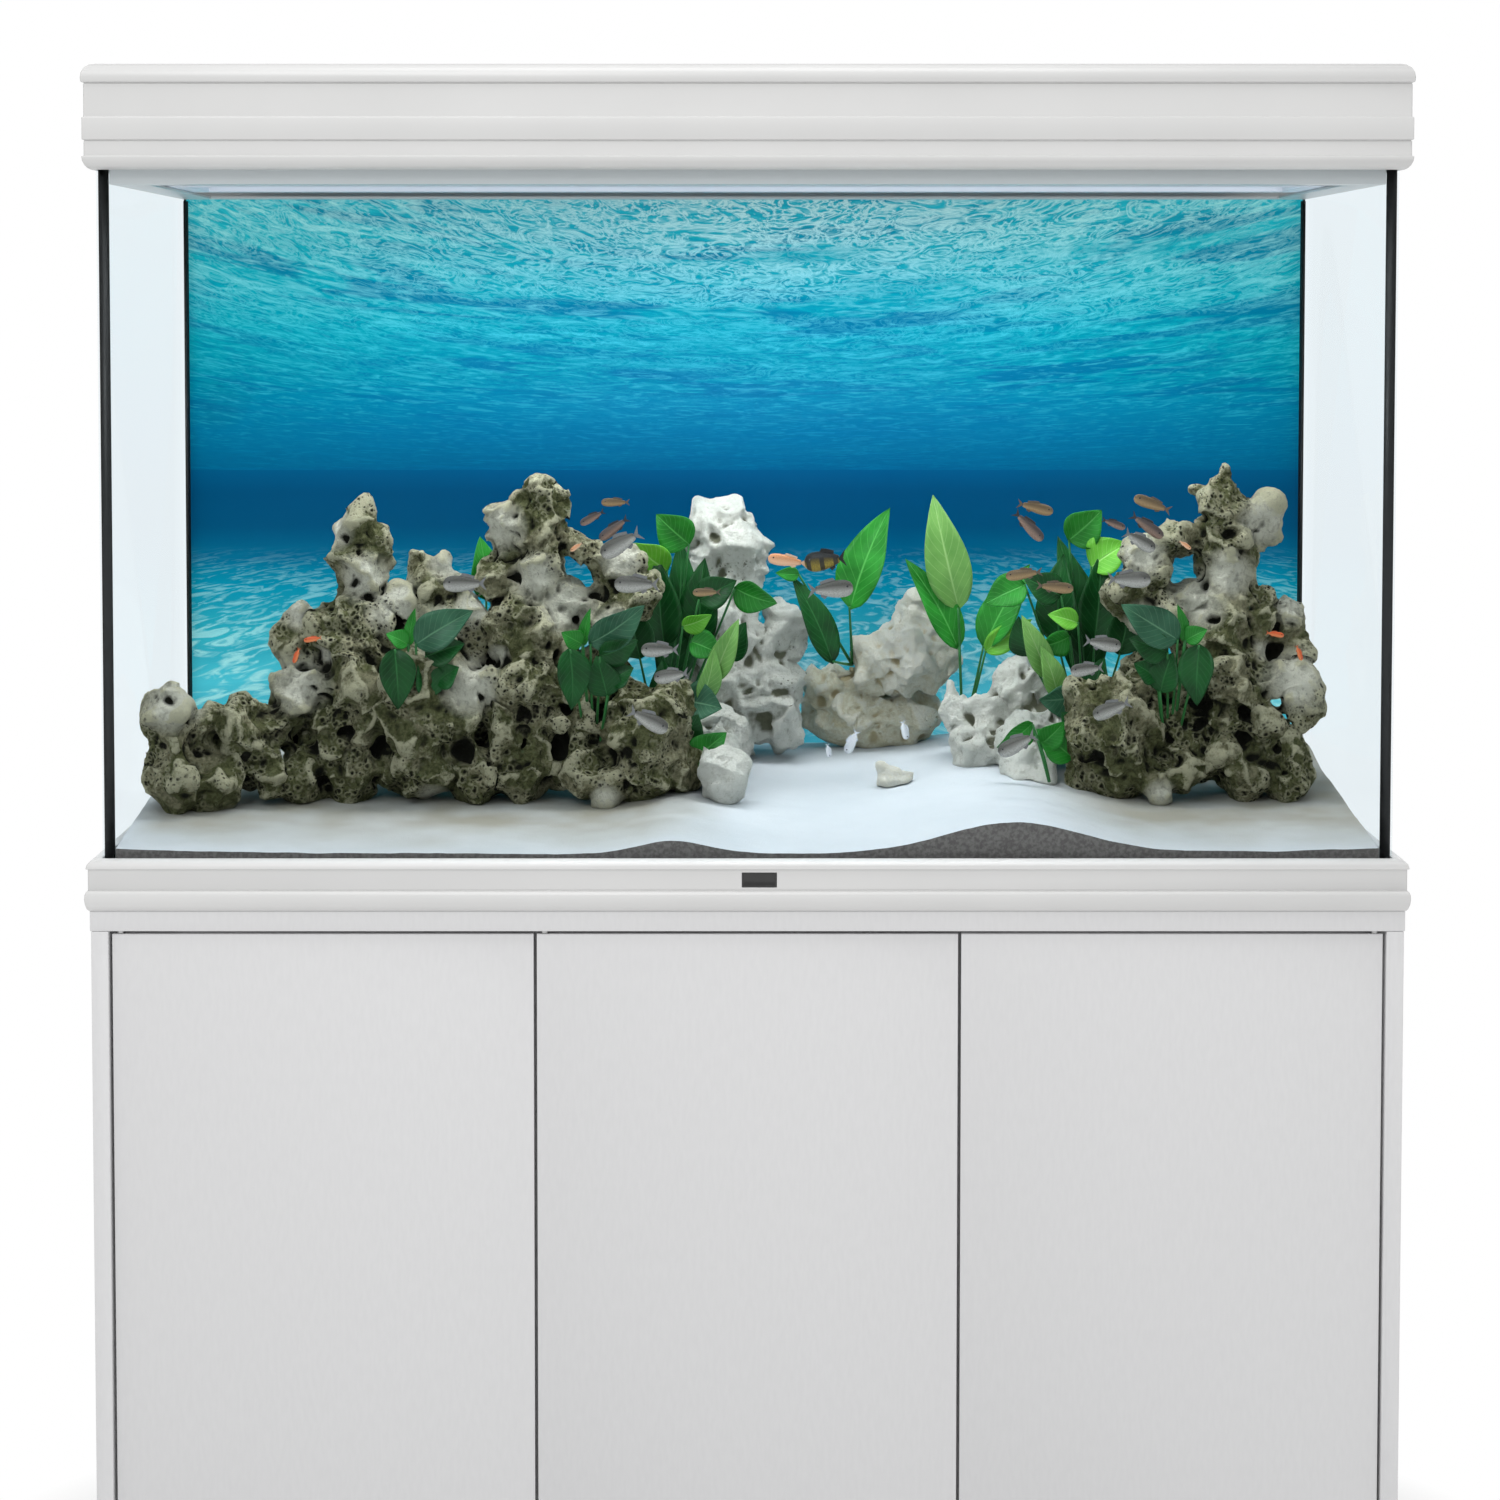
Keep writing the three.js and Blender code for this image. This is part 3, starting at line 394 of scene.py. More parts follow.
# ---- aquascape finishes -------------------------------------------------
def sand_look():
    look = Look("pale_sand")
    grain = look.noise(0.0016, 2, 0.7)
    patch = look.noise(0.16, 4)
    top = look.mix(look.rise(patch, 0.35, 0.65), (0.47, 0.51, 0.54), (0.53, 0.565, 0.595))
    top = look.mix(look.ramp(grain, (0.66, 0.0), (0.74, 0.5)), top, (0.5, 0.5, 0.52))
    shade = look.attribute("shade")
    # Painted shade: the sand is darkened towards grey-brown where the shade mask is set.
    top = look.mix(shade, top, (0.27, 0.26, 0.215))
    speckle = look.rise(look.noise(0.004, 3), 0.4, 0.6)
    # The bed's steep faces are coloured a darker grey-brown than its top.
    steep_face_colour = look.mix(speckle, (0.11, 0.10, 0.095), (0.17, 0.158, 0.15))
    normal = look.new("ShaderNodeNewGeometry").outputs["Normal"]
    cut = look.math("LESS_THAN", look.part("Z", normal), 0.3)
    look.colour(look.mix(cut, top, steep_face_colour))
    look.roughness(look.ramp(grain, (0.3, 0.9), (0.7, 0.98)))
    look.bump(look.noise(0.03, 4), 0.004, 0.4)
    return look.bump(grain, 0.0008, 0.6).material


def between(first, second, share):
    return tuple(a + share * (b - a) for a, b in zip(first, second))


def rock_look(name, crest, body, moss, pit_shade, moss_amount, sponge):
    """Pitted limestone: moss in the folds, pale crests that are partly wear and partly painted light on
    upward faces, painted shade in pits and folds, and clean pale patches.
    """
    look = Look(name, Specular_IOR_Level=0.2)
    crevice_and_pit_shade = look.attribute("crevice_and_pit_shade")
    wear_and_top_light = look.attribute("wear_and_top_light")
    clean = look.attribute("clean")
    patch = look.noise(0.04, 5, 0.62, 0.5)
    fine = look.noise(0.006, 6, 0.74, 0.5)
    mottle = look.rise(fine, 0.38, 0.60)
    stone = look.mix(mottle, between(body, pit_shade, 0.45), between(body, crest, 0.35))
    green = look.mix(mottle, between(moss, pit_shade, 0.6), between(moss, crest, 0.12))
    growth = look.minus(patch, look.times(clean, 0.32))
    cover = look.ramp(growth, (0.46 - moss_amount, 0.0), (0.56 - moss_amount, 1.0))
    skin = look.mix(look.times(cover, 0.9), stone, green)
    bare = look.times(clean, look.ramp(fine, (0.33, 0.5), (0.52, 1.0)))
    skin = look.mix(bare, skin, between(crest, (1.0, 1.0, 0.92), 0.55))
    # Pale crests: partly wear on the ridges, partly painted light on upward faces.
    edge = look.plus(wear_and_top_light, look.times(look.minus(fine, 0.5), 1.4))
    skin = look.mix(look.ramp(edge, (0.58, 0.0), (0.98, 0.85)), skin, crest)
    place = look.warped(0.016, 0.008)
    cell = look.cells(0.0078, place=place)
    pore = look.cells(0.0040, place=place)
    spongy = look.minus(look.noise(0.038, 4, 0.6), look.times(clean, 0.12))
    spongy = look.ramp(spongy, (0.50 - sponge, 0.0), (0.58 - sponge, 1.0))
    holes = look.times(look.ramp(cell, (0.16, 1.0), (0.33, 0.0)), spongy)
    rims = look.times(look.ramp(cell, (0.30, 0.0), (0.42, 0.55), (0.62, 0.0)), spongy)
    pores = look.times(look.ramp(pore, (0.16, 0.9), (0.36, 0.0)), spongy)
    skin = look.mix(rims, skin, between(body, crest, 0.8))
    # Painted shade: the small holes and pores, which are only bumps, are coloured with the pit shade.
    skin = look.mix(look.math("MAXIMUM", holes, pores), skin, pit_shade)
    # Painted shade: folds, creases and carved pits are coloured towards the pit shade.
    look.colour(look.mix(look.rise(crevice_and_pit_shade, 0.12, 0.75), skin, pit_shade))
    look.roughness(look.ramp(fine, (0.3, 0.8), (0.7, 0.98)))
    look.bump(look.noise(0.009, 7, 0.84), 0.011, 1.0)
    return look.bump(look.times(look.math("MAXIMUM", holes, pores), -1.0), 0.003, 0.9).material


def leaf_look(name, dark, light, rib):
    look = Look(name, Specular_IOR_Level=0.25)
    uv = look.new("ShaderNodeUVMap", uv_map="blade").outputs[0]
    across = look.math("ABSOLUTE", look.minus(look.part("X", uv), 0.5))
    along = look.part("Y", uv)
    slant = look.minus(along, look.times(across, 0.55))
    wave = look.math("SINE", look.times(slant, 58.0))
    vein = look.rise(wave, 0.9, 1.0)
    spine = look.ramp(across, (0.0, 1.0), (0.035, 0.0))
    tone = look.noise(0.03, 4)
    flesh = look.mix(look.rise(tone, 0.3, 0.7), dark, light)
    ribs = look.math("MAXIMUM", look.times(vein, 0.35), spine)
    look.colour(look.mix(ribs, flesh, rib))
    look.roughness(look.ramp(tone, (0.3, 0.28), (0.7, 0.42)))
    return look.bump(look.times(ribs, -1.0), 0.0006, 0.8).material


def fish_look(name, back, belly, scale, bands=0.0):
    """Scaled skin, darker on the back, with upright bands where asked for."""
    look = Look(name, Metallic=0.1, IOR=1.4)
    uv = look.new("ShaderNodeUVMap", uv_map="blade").outputs[0]
    scales = look.cells(0.0011)
    skin = look.mix(look.rise(look.part("Y", uv), 0.30, 0.72), belly, back)
    skin = look.mix(look.ramp(scales, (0.25, 0.0), (0.7, 0.4)), skin, scale)
    if bands:
        wave = look.math("SINE", look.times(look.part("X", uv), bands))
        skin = look.mix(look.ramp(wave, (0.35, 0.0), (0.6, 0.9)), skin, back)
    look.colour(skin)
    look.roughness(look.ramp(scales, (0.2, 0.28), (0.7, 0.45)))
    return look.bump(scales, 0.0002, 0.5).material


FIN_COLOURS = {
    "silver": (0.20, 0.20, 0.20), "pale": (0.7, 0.74, 0.8), "tan": (0.14, 0.10, 0.07),
    "brown": (0.04, 0.035, 0.035), "orange": (0.78, 0.52, 0.36), "red": (0.6, 0.14, 0.05),
    "banded": (0.015, 0.015, 0.015),
}


def fin_look(name, kind):
    look = Look(name, IOR=1.4)
    rays = look.noise(0.0008, 2, place=look.stretched((0.3, 1.0, 1.6)))
    colour = FIN_COLOURS[kind]
    look.colour(look.mix(look.ramp(rays, (0.4, 0.0), (0.6, 0.5)), colour, tuple(0.5 * c for c in colour)))
    return look.roughness(look.ramp(rays, (0.3, 0.35), (0.7, 0.5))).material


def eye_look():
    look = Look("fish_eye", Coat_Weight=0.6, Coat_Roughness=0.05)
    look.colour(look.ramp(look.noise(0.001, 2), (0.3, (0.004, 0.004, 0.004)), (0.7, (0.02, 0.018, 0.015))))
    return look.roughness(look.ramp(look.noise(0.0006, 2), (0.3, 0.12), (0.7, 0.25))).material


FINISHES = {
    laminate: ("cabinet_", "plinth", "door_"),
    trim_paint: ("base_rail",),
    trim_paint_painted_shade: ("hood_rail", "hood_centre_bar"),
    lid_plastic: ("lid_left", "lid_right", "hood_deck"),
    lamp_shell: ("lamp_housing",),
    lamp_diffuser: ("lamp_lens",),
    clear_glass: ("glass_",),
    silicone: ("silicone",),
    steel: ("pivot_pin", "lid_hinge_rod"),
    fitting_plastic: ("pivot_bush", "latch_", "plunger_"),
    display_window: ("thermometer",),
    backdrop_print: ("backdrop",),
}
BEVELS = {
    laminate: 0.0007, trim_paint: 0.0003, trim_paint_painted_shade: 0.0003, lid_plastic: 0.0006, lamp_shell: 0.001,
    lamp_diffuser: 0.0005, clear_glass: 0.0006, fitting_plastic: 0.0003, steel: 0.0003,
    display_window: 0.0003,
}


def dress(node, material, bevel):
    node.data.materials.clear()
    node.data.materials.append(material)
    node.data.shade_smooth()
    weld = node.modifiers.new("weld", "WELD")
    weld.merge_threshold = WELD_REACH
    if bevel:
        edge = node.modifiers.new("edge", "BEVEL")
        edge.width = bevel
        edge.segments = 2
        edge.limit_method = "ANGLE"
        edge.angle_limit = math.radians(40)
        edge.harden_normals = True


def dress_cad():
    for finish, prefixes in FINISHES.items():
        material = finish()
        for name, node in nodes.items():
            if name.startswith(prefixes):
                dress(node, material, BEVELS.get(finish))


dress_cad()


# ---- mesh helpers -------------------------------------------------------
def add_piece(name, mesh, material, body=ROOT):
    piece = bpy.data.objects.new(name, mesh)
    bpy.context.scene.collection.objects.link(piece)
    mesh.materials.append(material)
    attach(piece, body)
    return piece


def settled_mesh(piece):
    """The mesh a piece has after its modifiers, as a new mesh."""
    graph = bpy.context.evaluated_depsgraph_get()
    return bpy.data.meshes.new_from_object(piece.evaluated_get(graph))


HASH_AXES = (374761393, 668265263, 2147483647)    # large odd factors that scatter the cells
HASH_SEED, HASH_MIX = 974711, 1274126177


def lattice_values(cells, seed):
    """A repeatable random number from 0 to 1 for every lattice cell."""
    mixed = sum(cells[..., axis] * factor for axis, factor in enumerate(HASH_AXES))
    mixed = mixed + seed * HASH_SEED
    mixed = (mixed ^ (mixed >> 13)) * HASH_MIX
    mixed = mixed ^ (mixed >> 16)
    return (mixed & 0xFFFF) / 65535.0


def smooth_noise(points, size, seed):
    """Value noise from 0 to 1 with features about `size` across."""
    scaled = points / size
    low = np.floor(scaled).astype(np.int64)
    part = scaled - low
    ease = part * part * (3.0 - 2.0 * part)
    total = np.zeros(len(points))
    for corner in np.ndindex(2, 2, 2):
        share = np.prod(np.where(corner, ease, 1.0 - ease), axis=1)
        total += share * lattice_values(low + np.array(corner), seed)
    return total


def rough_noise(points, size, seed, octaves=4):
    total = np.zeros(len(points))
    weight = 0.0
    for octave in range(octaves):
        share = 0.5 ** octave
        total += share * smooth_noise(points, size * share, seed + octave)
        weight += share
    return total / weight


def nearest_pit(points, size, seed):
    """Distance to the closest of one random spot per cell, in cell widths."""
    scaled = points / size
    low = np.floor(scaled).astype(np.int64)
    best = np.full(len(points), 9.0)
    for shift in np.ndindex(3, 3, 3):
        cell = low + np.array(shift) - 1
        spot = np.stack([lattice_values(cell, seed + axis) for axis in range(3)], axis=1) + cell
        best = np.minimum(best, np.linalg.norm(spot - scaled, axis=1))
    return best


def mesh_points(mesh):
    points = np.empty(len(mesh.vertices) * 3)
    mesh.vertices.foreach_get("co", points)
    return points.reshape(-1, 3)


def mesh_normals(mesh):
    normals = np.empty(len(mesh.vertices) * 3)
    mesh.vertex_normals.foreach_get("vector", normals)
    return normals.reshape(-1, 3)


def set_points(mesh, points):
    mesh.vertices.foreach_set("co", points.ravel())
    mesh.update()


def set_attribute(mesh, name, values):
    layer = mesh.attributes.new(name, "FLOAT", "POINT")
    layer.data.foreach_set("value", values.astype(np.float32))


# ---- rocks --------------------------------------------------------------
# Clean pale patches of the rocks, as middle (across, height) and reach in millimetres. Those of
# the piles are given from the pile's own middle, as the three piles are built alike.
PILE_MIDDLES = {"left": (-401, 1, 0), "middle": (-230, 1, 0), "right": (500, -1, 4)}
PILE_PATCHES = ((54, 1046, 26), (-14, 1122, 22), (-42, 1040, 17), (-40, 968, 26), (22, 1072, 22),
                (106, 1090, 20), (-15, 996, 9), (92, 856, 14), (98, 1020, 22))
ALL_CLEAN = ((0, 1000, 900),)
SLAB_STONE = ((168, 996, 54),)    # the white stone that lies on the cream slab
INSIDE_GLASS = 588.5 * MM
BULK_DEPTH, SCOOP_DEPTH, DIMPLE_DEPTH = 13 * MM, 28 * MM, 11 * MM
HOLE_DEPTH, PIT_DEPTH, POCK_DEPTH = 12 * MM, 5 * MM, 3.5 * MM


def pale_patches(points, patches):
    clean = np.zeros(len(points))
    for across, height, reach in patches:
        gap_x = points[:, 0] / MM - across
        gap_z = points[:, 2] / MM - height
        clean = np.maximum(clean, np.clip(1.6 - 1.2 * np.hypot(gap_x, gap_z) / reach, 0.0, 1.0))
    return clean


def pile_patches(*piles):
    patches = []
    for pile in piles:
        middle, side, lift = PILE_MIDDLES[pile]
        patches += [(middle + side * across, height + lift, reach) for across, height, reach in PILE_PATCHES]
    return patches


def rounded_copy(node_name, voxel):
    """The node's solid as a fine, evenly meshed and softened surface."""
    mesh = nodes[node_name].data.copy()
    mesh.materials.clear()
    piece = bpy.data.objects.new("carving", mesh)
    bpy.context.scene.collection.objects.link(piece)
    weld = piece.modifiers.new("weld", "WELD")
    weld.merge_threshold = WELD_REACH
    swell = piece.modifiers.new("swell", "DISPLACE")
    swell.strength = 2.0 * MM
    swell.mid_level = 0.0
    remesh = piece.modifiers.new("remesh", "REMESH")
    remesh.mode = "VOXEL"
    remesh.voxel_size = voxel
    smooth = piece.modifiers.new("smooth", "SMOOTH")
    smooth.iterations = 7
    smooth.factor = 0.7
    rock = settled_mesh(piece)
    bpy.data.objects.remove(piece)
    return rock


def hollowness(mesh, points, rounds):
    """How far each point lies below its surroundings: 1 in deep folds, -1 on sharp ridges."""
    ends = np.empty(2 * len(mesh.edges), dtype=np.int32)
    mesh.edges.foreach_get("vertices", ends)
    first, second = ends.reshape(-1, 2).T
    size = len(points)
    around = np.bincount(first, minlength=size) + np.bincount(second, minlength=size)
    soft = points.copy()
    for _ in range(rounds):
        for axis in range(3):
            total = np.bincount(first, soft[second, axis], size)
            total += np.bincount(second, soft[first, axis], size)
            soft[:, axis] = total / around
    depth = np.sum((soft - points) * mesh_normals(mesh), axis=1)
    return np.clip(depth / np.percentile(np.abs(depth), 92), -1.0, 1.0)


def pits(points, size, reach, seed):
    """1 in the middle of each pit, falling steeply to 0 at its rim."""
    return np.clip(1.0 - nearest_pit(points, size, seed) / reach, 0.0, 1.0) ** 0.6


def weather_rock(node_name, material, seed, pitted, patches, voxel=0.0022):
    """A rock carved from its CAD solid: rounded, scooped into sharp ridges, creased and pitted."""
    rock = rounded_copy(node_name, voxel)
    points = mesh_points(rock)
    normals = mesh_normals(rock)
    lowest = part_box(node_name)[0]
    warp = np.stack([rough_noise(points, 0.03, seed + 20 + axis, 2) for axis in range(3)], axis=1) - 0.5
    warped = points + 0.024 * warp
    bulk = rough_noise(warped, 0.05, seed, 3) - 0.5
    scoop = np.minimum(nearest_pit(warped, 0.042, seed + 5), 0.8) ** 2
    dimple = nearest_pit(warped, 0.016, seed + 7) ** 1.5
    clean = pale_patches(points, patches)
    rough = 1.0 - 0.45 * clean * (pitted == 1.0)
    pit_patch = np.clip((rough_noise(points, 0.05, seed + 15, 2) - 0.40) * 5.0, 0.0, 1.0)
    middling, small = pits(warped, 0.022, 0.36, seed + 10), pits(warped, 0.0095, 0.42, seed + 12)
    small = pit_patch * (PIT_DEPTH * middling + POCK_DEPTH * small)
    sunk = rough * pitted * (HOLE_DEPTH * pits(warped, 0.046, 0.20, seed + 9) + small)
    relief = BULK_DEPTH * bulk + rough * (SCOOP_DEPTH * (scoop - 0.27) + DIMPLE_DEPTH * (dimple - 0.36))
    foot = np.clip((points[:, 2] - lowest[2]) / 0.03, 0.3, 1.0)
    points = points + normals * ((relief - sunk) * foot)[:, None]
    points[:, 0] = np.clip(points[:, 0], -INSIDE_GLASS, INSIDE_GLASS)
    set_points(rock, points)
    rock.shade_smooth()
    fold, crease = hollowness(rock, points, 60), hollowness(rock, points, 8)
    # Painted shade: how dark each fold, crease and carved pit is coloured.
    set_attribute(rock, "crevice_and_pit_shade", np.clip(0.9 * fold - 0.25 + 0.4 * crease + sunk / 0.008, 0.0, 1.0))
    # Paler on ridges for wear, and on upward faces as painted light from above.
    set_attribute(rock, "wear_and_top_light", np.clip(-0.55 * fold - 0.5 * crease + 0.22 * normals[:, 2], 0.0, 1.0))
    set_attribute(rock, "clean", clean)
    stone = add_piece(f"stone_{node_name}", rock, material)
    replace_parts(stone, node_name)
    return stone


def add_rocks():
    # Colours as crest, body, moss and painted pit shade, then the moss amount and sponginess.
    mossy = rock_look("mossy_rock", (0.66, 0.64, 0.44), (0.25, 0.235, 0.125), (0.10, 0.118, 0.026),
                      (0.010, 0.010, 0.005), 0.05, 0.04)
    pale = rock_look("pale_rock", (0.92, 0.935, 0.85), (0.70, 0.72, 0.59), (0.42, 0.44, 0.27),
                     (0.24, 0.245, 0.17), -0.12, 0.03)
    cream = rock_look("cream_rock", (1.0, 0.98, 0.84), (1.0, 0.97, 0.76), (0.94, 0.85, 0.55),
                      (0.66, 0.57, 0.34), -0.10, -0.08)
    piles = {"rock_pile_left": pile_patches("left", "middle") + [(-556, 958, 26)],
             "rock_pile_right": pile_patches("right")}
    for index, (name, patches) in enumerate(piles.items()):
        weather_rock(name, mossy, 3 + 37 * index, 1.0, patches)
    for index, name in enumerate(("rock_tall", "rock_slab", "rock_right", "stone_small")):
        finish = cream if name in ("rock_slab", "stone_small") else pale
        patches = SLAB_STONE if name == "rock_slab" else ALL_CLEAN
        weather_rock(name, finish, 80 + 30 * index, 0.8, patches)


add_rocks()


# ---- sand ---------------------------------------------------------------
def sand_height(x, y):
    """The sand's rise to a low crest near the back, with a ripple and a mound at the front."""
    inner_x = 590 * MM
    inner_y = 240 * MM
    back = (y + inner_y) / (2 * inner_y)
    ripple = 12 * MM * np.exp(-(((x + 68 * MM) / (45 * MM)) ** 2))
    mound = 30 * MM * np.exp(-(((x - 250 * MM) / (95 * MM)) ** 2))
    ends = 6 * MM * (x / inner_x) ** 4
    crest = 7 * MM * np.exp(-(((y - 180 * MM) / (55 * MM)) ** 2))
    return 830 * MM + ends + crest + (ripple + mound) * (1 - 0.6 * back) + 46 * MM * back


def sand_shade(x, y):
    """How much painted shade the sand gets: under and just in front of the rock piles."""
    left = np.clip((-0.01 - x) / 0.09, 0.0, 1.0) * np.clip((x + 0.60) / 0.04, 0.0, 1.0)
    right = np.clip((x - 0.27) / 0.10, 0.0, 1.0)
    depth = np.clip((y + 0.27) / 0.16, 0.0, 1.0)
    return np.maximum(left, right) * depth


def add_sand():
    low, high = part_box("sand_bed")
    columns, rows = 360, 150
    xs = np.linspace(low[0], high[0], columns)
    ys = np.linspace(low[1], high[1], rows)
    grid_x, grid_y = np.meshgrid(xs, ys, indexing="ij")
    flat = np.stack([grid_x.ravel(), grid_y.ravel(), np.zeros(grid_x.size)], axis=1)
    dunes = 3.2 * MM * (rough_noise(flat, 0.09, 7, 3) - 0.5)
    dunes += 1.1 * MM * (rough_noise(flat, 0.02, 11, 3) - 0.5)
    top = sand_height(flat[:, 0], flat[:, 1]) + dunes
    upper = np.column_stack([flat[:, :2], top])
    lower = np.column_stack([flat[:, :2], np.full(len(flat), low[2])])
    points = np.vstack([upper, lower])
    size = columns * rows
    faces = []
    for i in range(columns - 1):
        for j in range(rows - 1):
            a = i * rows + j
            faces.append((a, a + rows, a + rows + 1, a + 1))
            faces.append((a + size, a + 1 + size, a + rows + 1 + size, a + rows + size))
    rim = [i * rows for i in range(columns)]
    rim += [(columns - 1) * rows + j for j in range(1, rows)]
    rim += [i * rows + rows - 1 for i in range(columns - 2, -1, -1)]
    rim += [j for j in range(rows - 2, 0, -1)]
    for here, there in zip(rim, rim[1:] + rim[:1]):
        faces.append((here, here + size, there + size, there))
    mesh = bpy.data.meshes.new("sand_surface")
    mesh.from_pydata(points.tolist(), [], faces)
    mesh.shade_smooth()
    mesh.set_sharp_from_angle(angle=math.radians(50))
    patchy = 0.88 + 0.8 * (rough_noise(flat, 0.05, 23, 3) - 0.5)
    shade = np.clip(sand_shade(flat[:, 0], flat[:, 1]) * patchy, 0.0, 1.0)
    set_attribute(mesh, "shade", np.concatenate([shade, shade]))
    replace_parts(add_piece("sand_surface", mesh, sand_look()), "sand_bed")


add_sand()


# ---- plants -------------------------------------------------------------
LEAF_BREADTH = 1.2                # a leaf's full breadth over its listed width
PILE_LEAF_BREADTH = 1.2           # on top of that, for the plants that grow through the piles


def blade_mesh(target, uv, base, tip, width, curl, twist):
    """Adds one broad pointed leaf to a bmesh, from base to tip, with a folded midrib."""
    base, tip = Vector(base), Vector(tip)
    length = (tip - base).length
    forward = (tip - base).normalized()
    facing = Vector((0.0, -1.0, 0.0))
    facing = (facing - forward * facing.dot(forward)).normalized()
    facing = Matrix.Rotation(twist, 3, forward) @ facing
    side = forward.cross(facing)
    steps, half = 14, 4
    rows = []
    for i in range(steps + 1):
        t = i / steps
        reach = math.sin(math.pi * t ** 0.78) ** 0.85 * (1.0 - 0.25 * t)
        bend = facing * (-curl * length * (t - 0.35) ** 2)
        ripple = 0.025 * width * math.sin(11.0 * t + 3.0 * twist)
        row = []
        for j in range(-half, half + 1):
            s = j / half
            out = side * (s * 0.5 * width * reach)
            lift = facing * (abs(s) ** 1.4 * 0.16 * width * reach + ripple * abs(s))
            spot = base + forward * (t * length) + bend + out + lift
            row.append((target.verts.new(spot), (0.5 + 0.5 * s, t)))
        rows.append(row)
    for low, high in zip(rows, rows[1:]):
        for k in range(2 * half):
            corners = (low[k], low[k + 1], high[k + 1], high[k])
            face = target.faces.new([corner[0] for corner in corners])
            face.smooth = True
            for loop, corner in zip(face.loops, corners):
                loop[uv].uv = corner[1]


def stem_mesh(target, uv, start, end, radius, sag):
    """Adds one round stem that bows outwards between its two ends."""
    start, end = Vector(start), Vector(end)
    forward = (end - start).normalized()
    side = forward.orthogonal().normalized()
    other = forward.cross(side)
    steps, around = 10, 8
    rings = []
    for i in range(steps + 1):
        t = i / steps
        centre = start.lerp(end, t) + Vector((0.0, -sag, 0.0)) * math.sin(math.pi * t)
        size = radius * (1.0 - 0.35 * t)
        turns = [2.0 * math.pi * k / around for k in range(around)]
        spokes = [math.cos(turn) * side + math.sin(turn) * other for turn in turns]
        rings.append([target.verts.new(centre + size * spoke) for spoke in spokes])
    for low, high in zip(rings, rings[1:]):
        for k in range(around):
            face = target.faces.new((low[k], low[k - 1], high[k - 1], high[k]))
            face.smooth = True
            for loop in face.loops:
                loop[uv].uv = (0.5, 0.5)
    for cap in (rings[0], rings[-1][::-1]):
        for loop in target.faces.new(cap).loops:
            loop[uv].uv = (0.5, 0.5)


def add_plant(name, root, leaves, materials, replaced=None):
    """One plant: its leaves, and stems that bow up to them from a root in the sand or in a rock."""
    x, y, *height = root
    above_sand = float(sand_height(x * MM, y * MM)) + 4 * MM
    foot = Vector((x * MM, y * MM, height[0] * MM if height else above_sand))
    blades, stems = bmesh.new(), bmesh.new()
    blade_uv, stem_uv = blades.loops.layers.uv.new("blade"), stems.loops.layers.uv.new("blade")
    tones = []
    for index, (x0, depth, z0, x1, z1, width, tone) in enumerate(leaves):
        base, tip = Vector((x0, depth, z0)) * MM, Vector((x1, depth - 6, z1)) * MM
        before = len(blades.faces)
        breadth, twist = LEAF_BREADTH * width * MM, 0.5 * math.sin(2.1 * index + x)
        blade_mesh(blades, blade_uv, base, tip, breadth, 0.35, twist)
        tones += [tone] * (len(blades.faces) - before)
        stem_mesh(stems, stem_uv, foot, base.lerp(tip, 0.03), 1.7 * MM, 6 * MM)
    for face, tone in zip(blades.faces, tones):
        face.material_index = tone
    mesh = bpy.data.meshes.new(name)
    blades.to_mesh(mesh)
    blades.free()
    piece = add_piece(name, mesh, materials[0])
    for material in materials[1:]:
        mesh.materials.append(material)
    thick = piece.modifiers.new("thickness", "SOLIDIFY")
    thick.thickness = 0.0006
    thick.offset = 0.0
    stalks = bpy.data.meshes.new(name + "_stems")
    stems.to_mesh(stalks)
    stems.free()
    stalk = add_piece(name + "_stems", stalks, materials[0])
    if replaced:
        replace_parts(piece, replaced)
        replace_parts(stalk, replaced)


DARK, MID, LIGHT, BRIGHT, TEAL = range(5)

# Leaves as (base x, y, z, tip x, z, width, tone) in millimetres; each leaf stays in one depth.
# The bush grows through each pile's right shoulder and is given from the pile's middle.
BUSH = (
    (152, 60, 1074, 116, 1100, 34, BRIGHT), (174, 66, 1100, 140, 1130, 32, MID),
    (152, 74, 952, 174, 1104, 41, DARK), (184, 64, 994, 184, 1086, 34, DARK),
    (148, 54, 996, 140, 1086, 34, DARK), (166, 30, 1020, 196, 1030, 18, BRIGHT),
    (174, 30, 1006, 206, 994, 24, MID), (196, 24, 964, 222, 1028, 20, LIGHT),
    (186, 18, 944, 202, 998, 20, LIGHT), (214, 44, 984, 228, 1024, 24, DARK),
    (182, 40, 1046, 220, 1066, 26, DARK), (218, 44, 1058, 260, 1040, 28, MID),
    (166, 14, 948, 206, 942, 32, TEAL), (174, -10, 888, 210, 918, 26, MID),
    (166, 0, 908, 184, 934, 24, DARK), (156, 30, 926, 144, 986, 30, DARK),
    (124, 40, 986, 112, 1046, 30, DARK), (104, 36, 982, 80, 1028, 22, DARK),
)
SPRIG = (
    (58, -70, 1008, 63, 948, 28, DARK), (76, -60, 1010, 132, 1045, 30, TEAL),
    (70, -56, 1010, 50, 1022, 16, MID), (70, -52, 1008, 75, 1045, 10, MID),
    (86, -56, 998, 124, 1012, 24, DARK), (94, -52, 958, 84, 998, 26, DARK),
    (96, -50, 972, 118, 988, 22, DARK),
)
WING_LEAVES = (
    (-32, 64, 1044, -34, 1108, 28, MID), (-18, 66, 1044, -24, 1094, 22, DARK),
)
CENTRE_LEAVES = (
    (106, 120, 1030, 142, 1136, 45, MID), (92, 120, 974, 54, 1066, 31, DARK),
    (56, 122, 1066, 32, 1068, 14, MID),
)
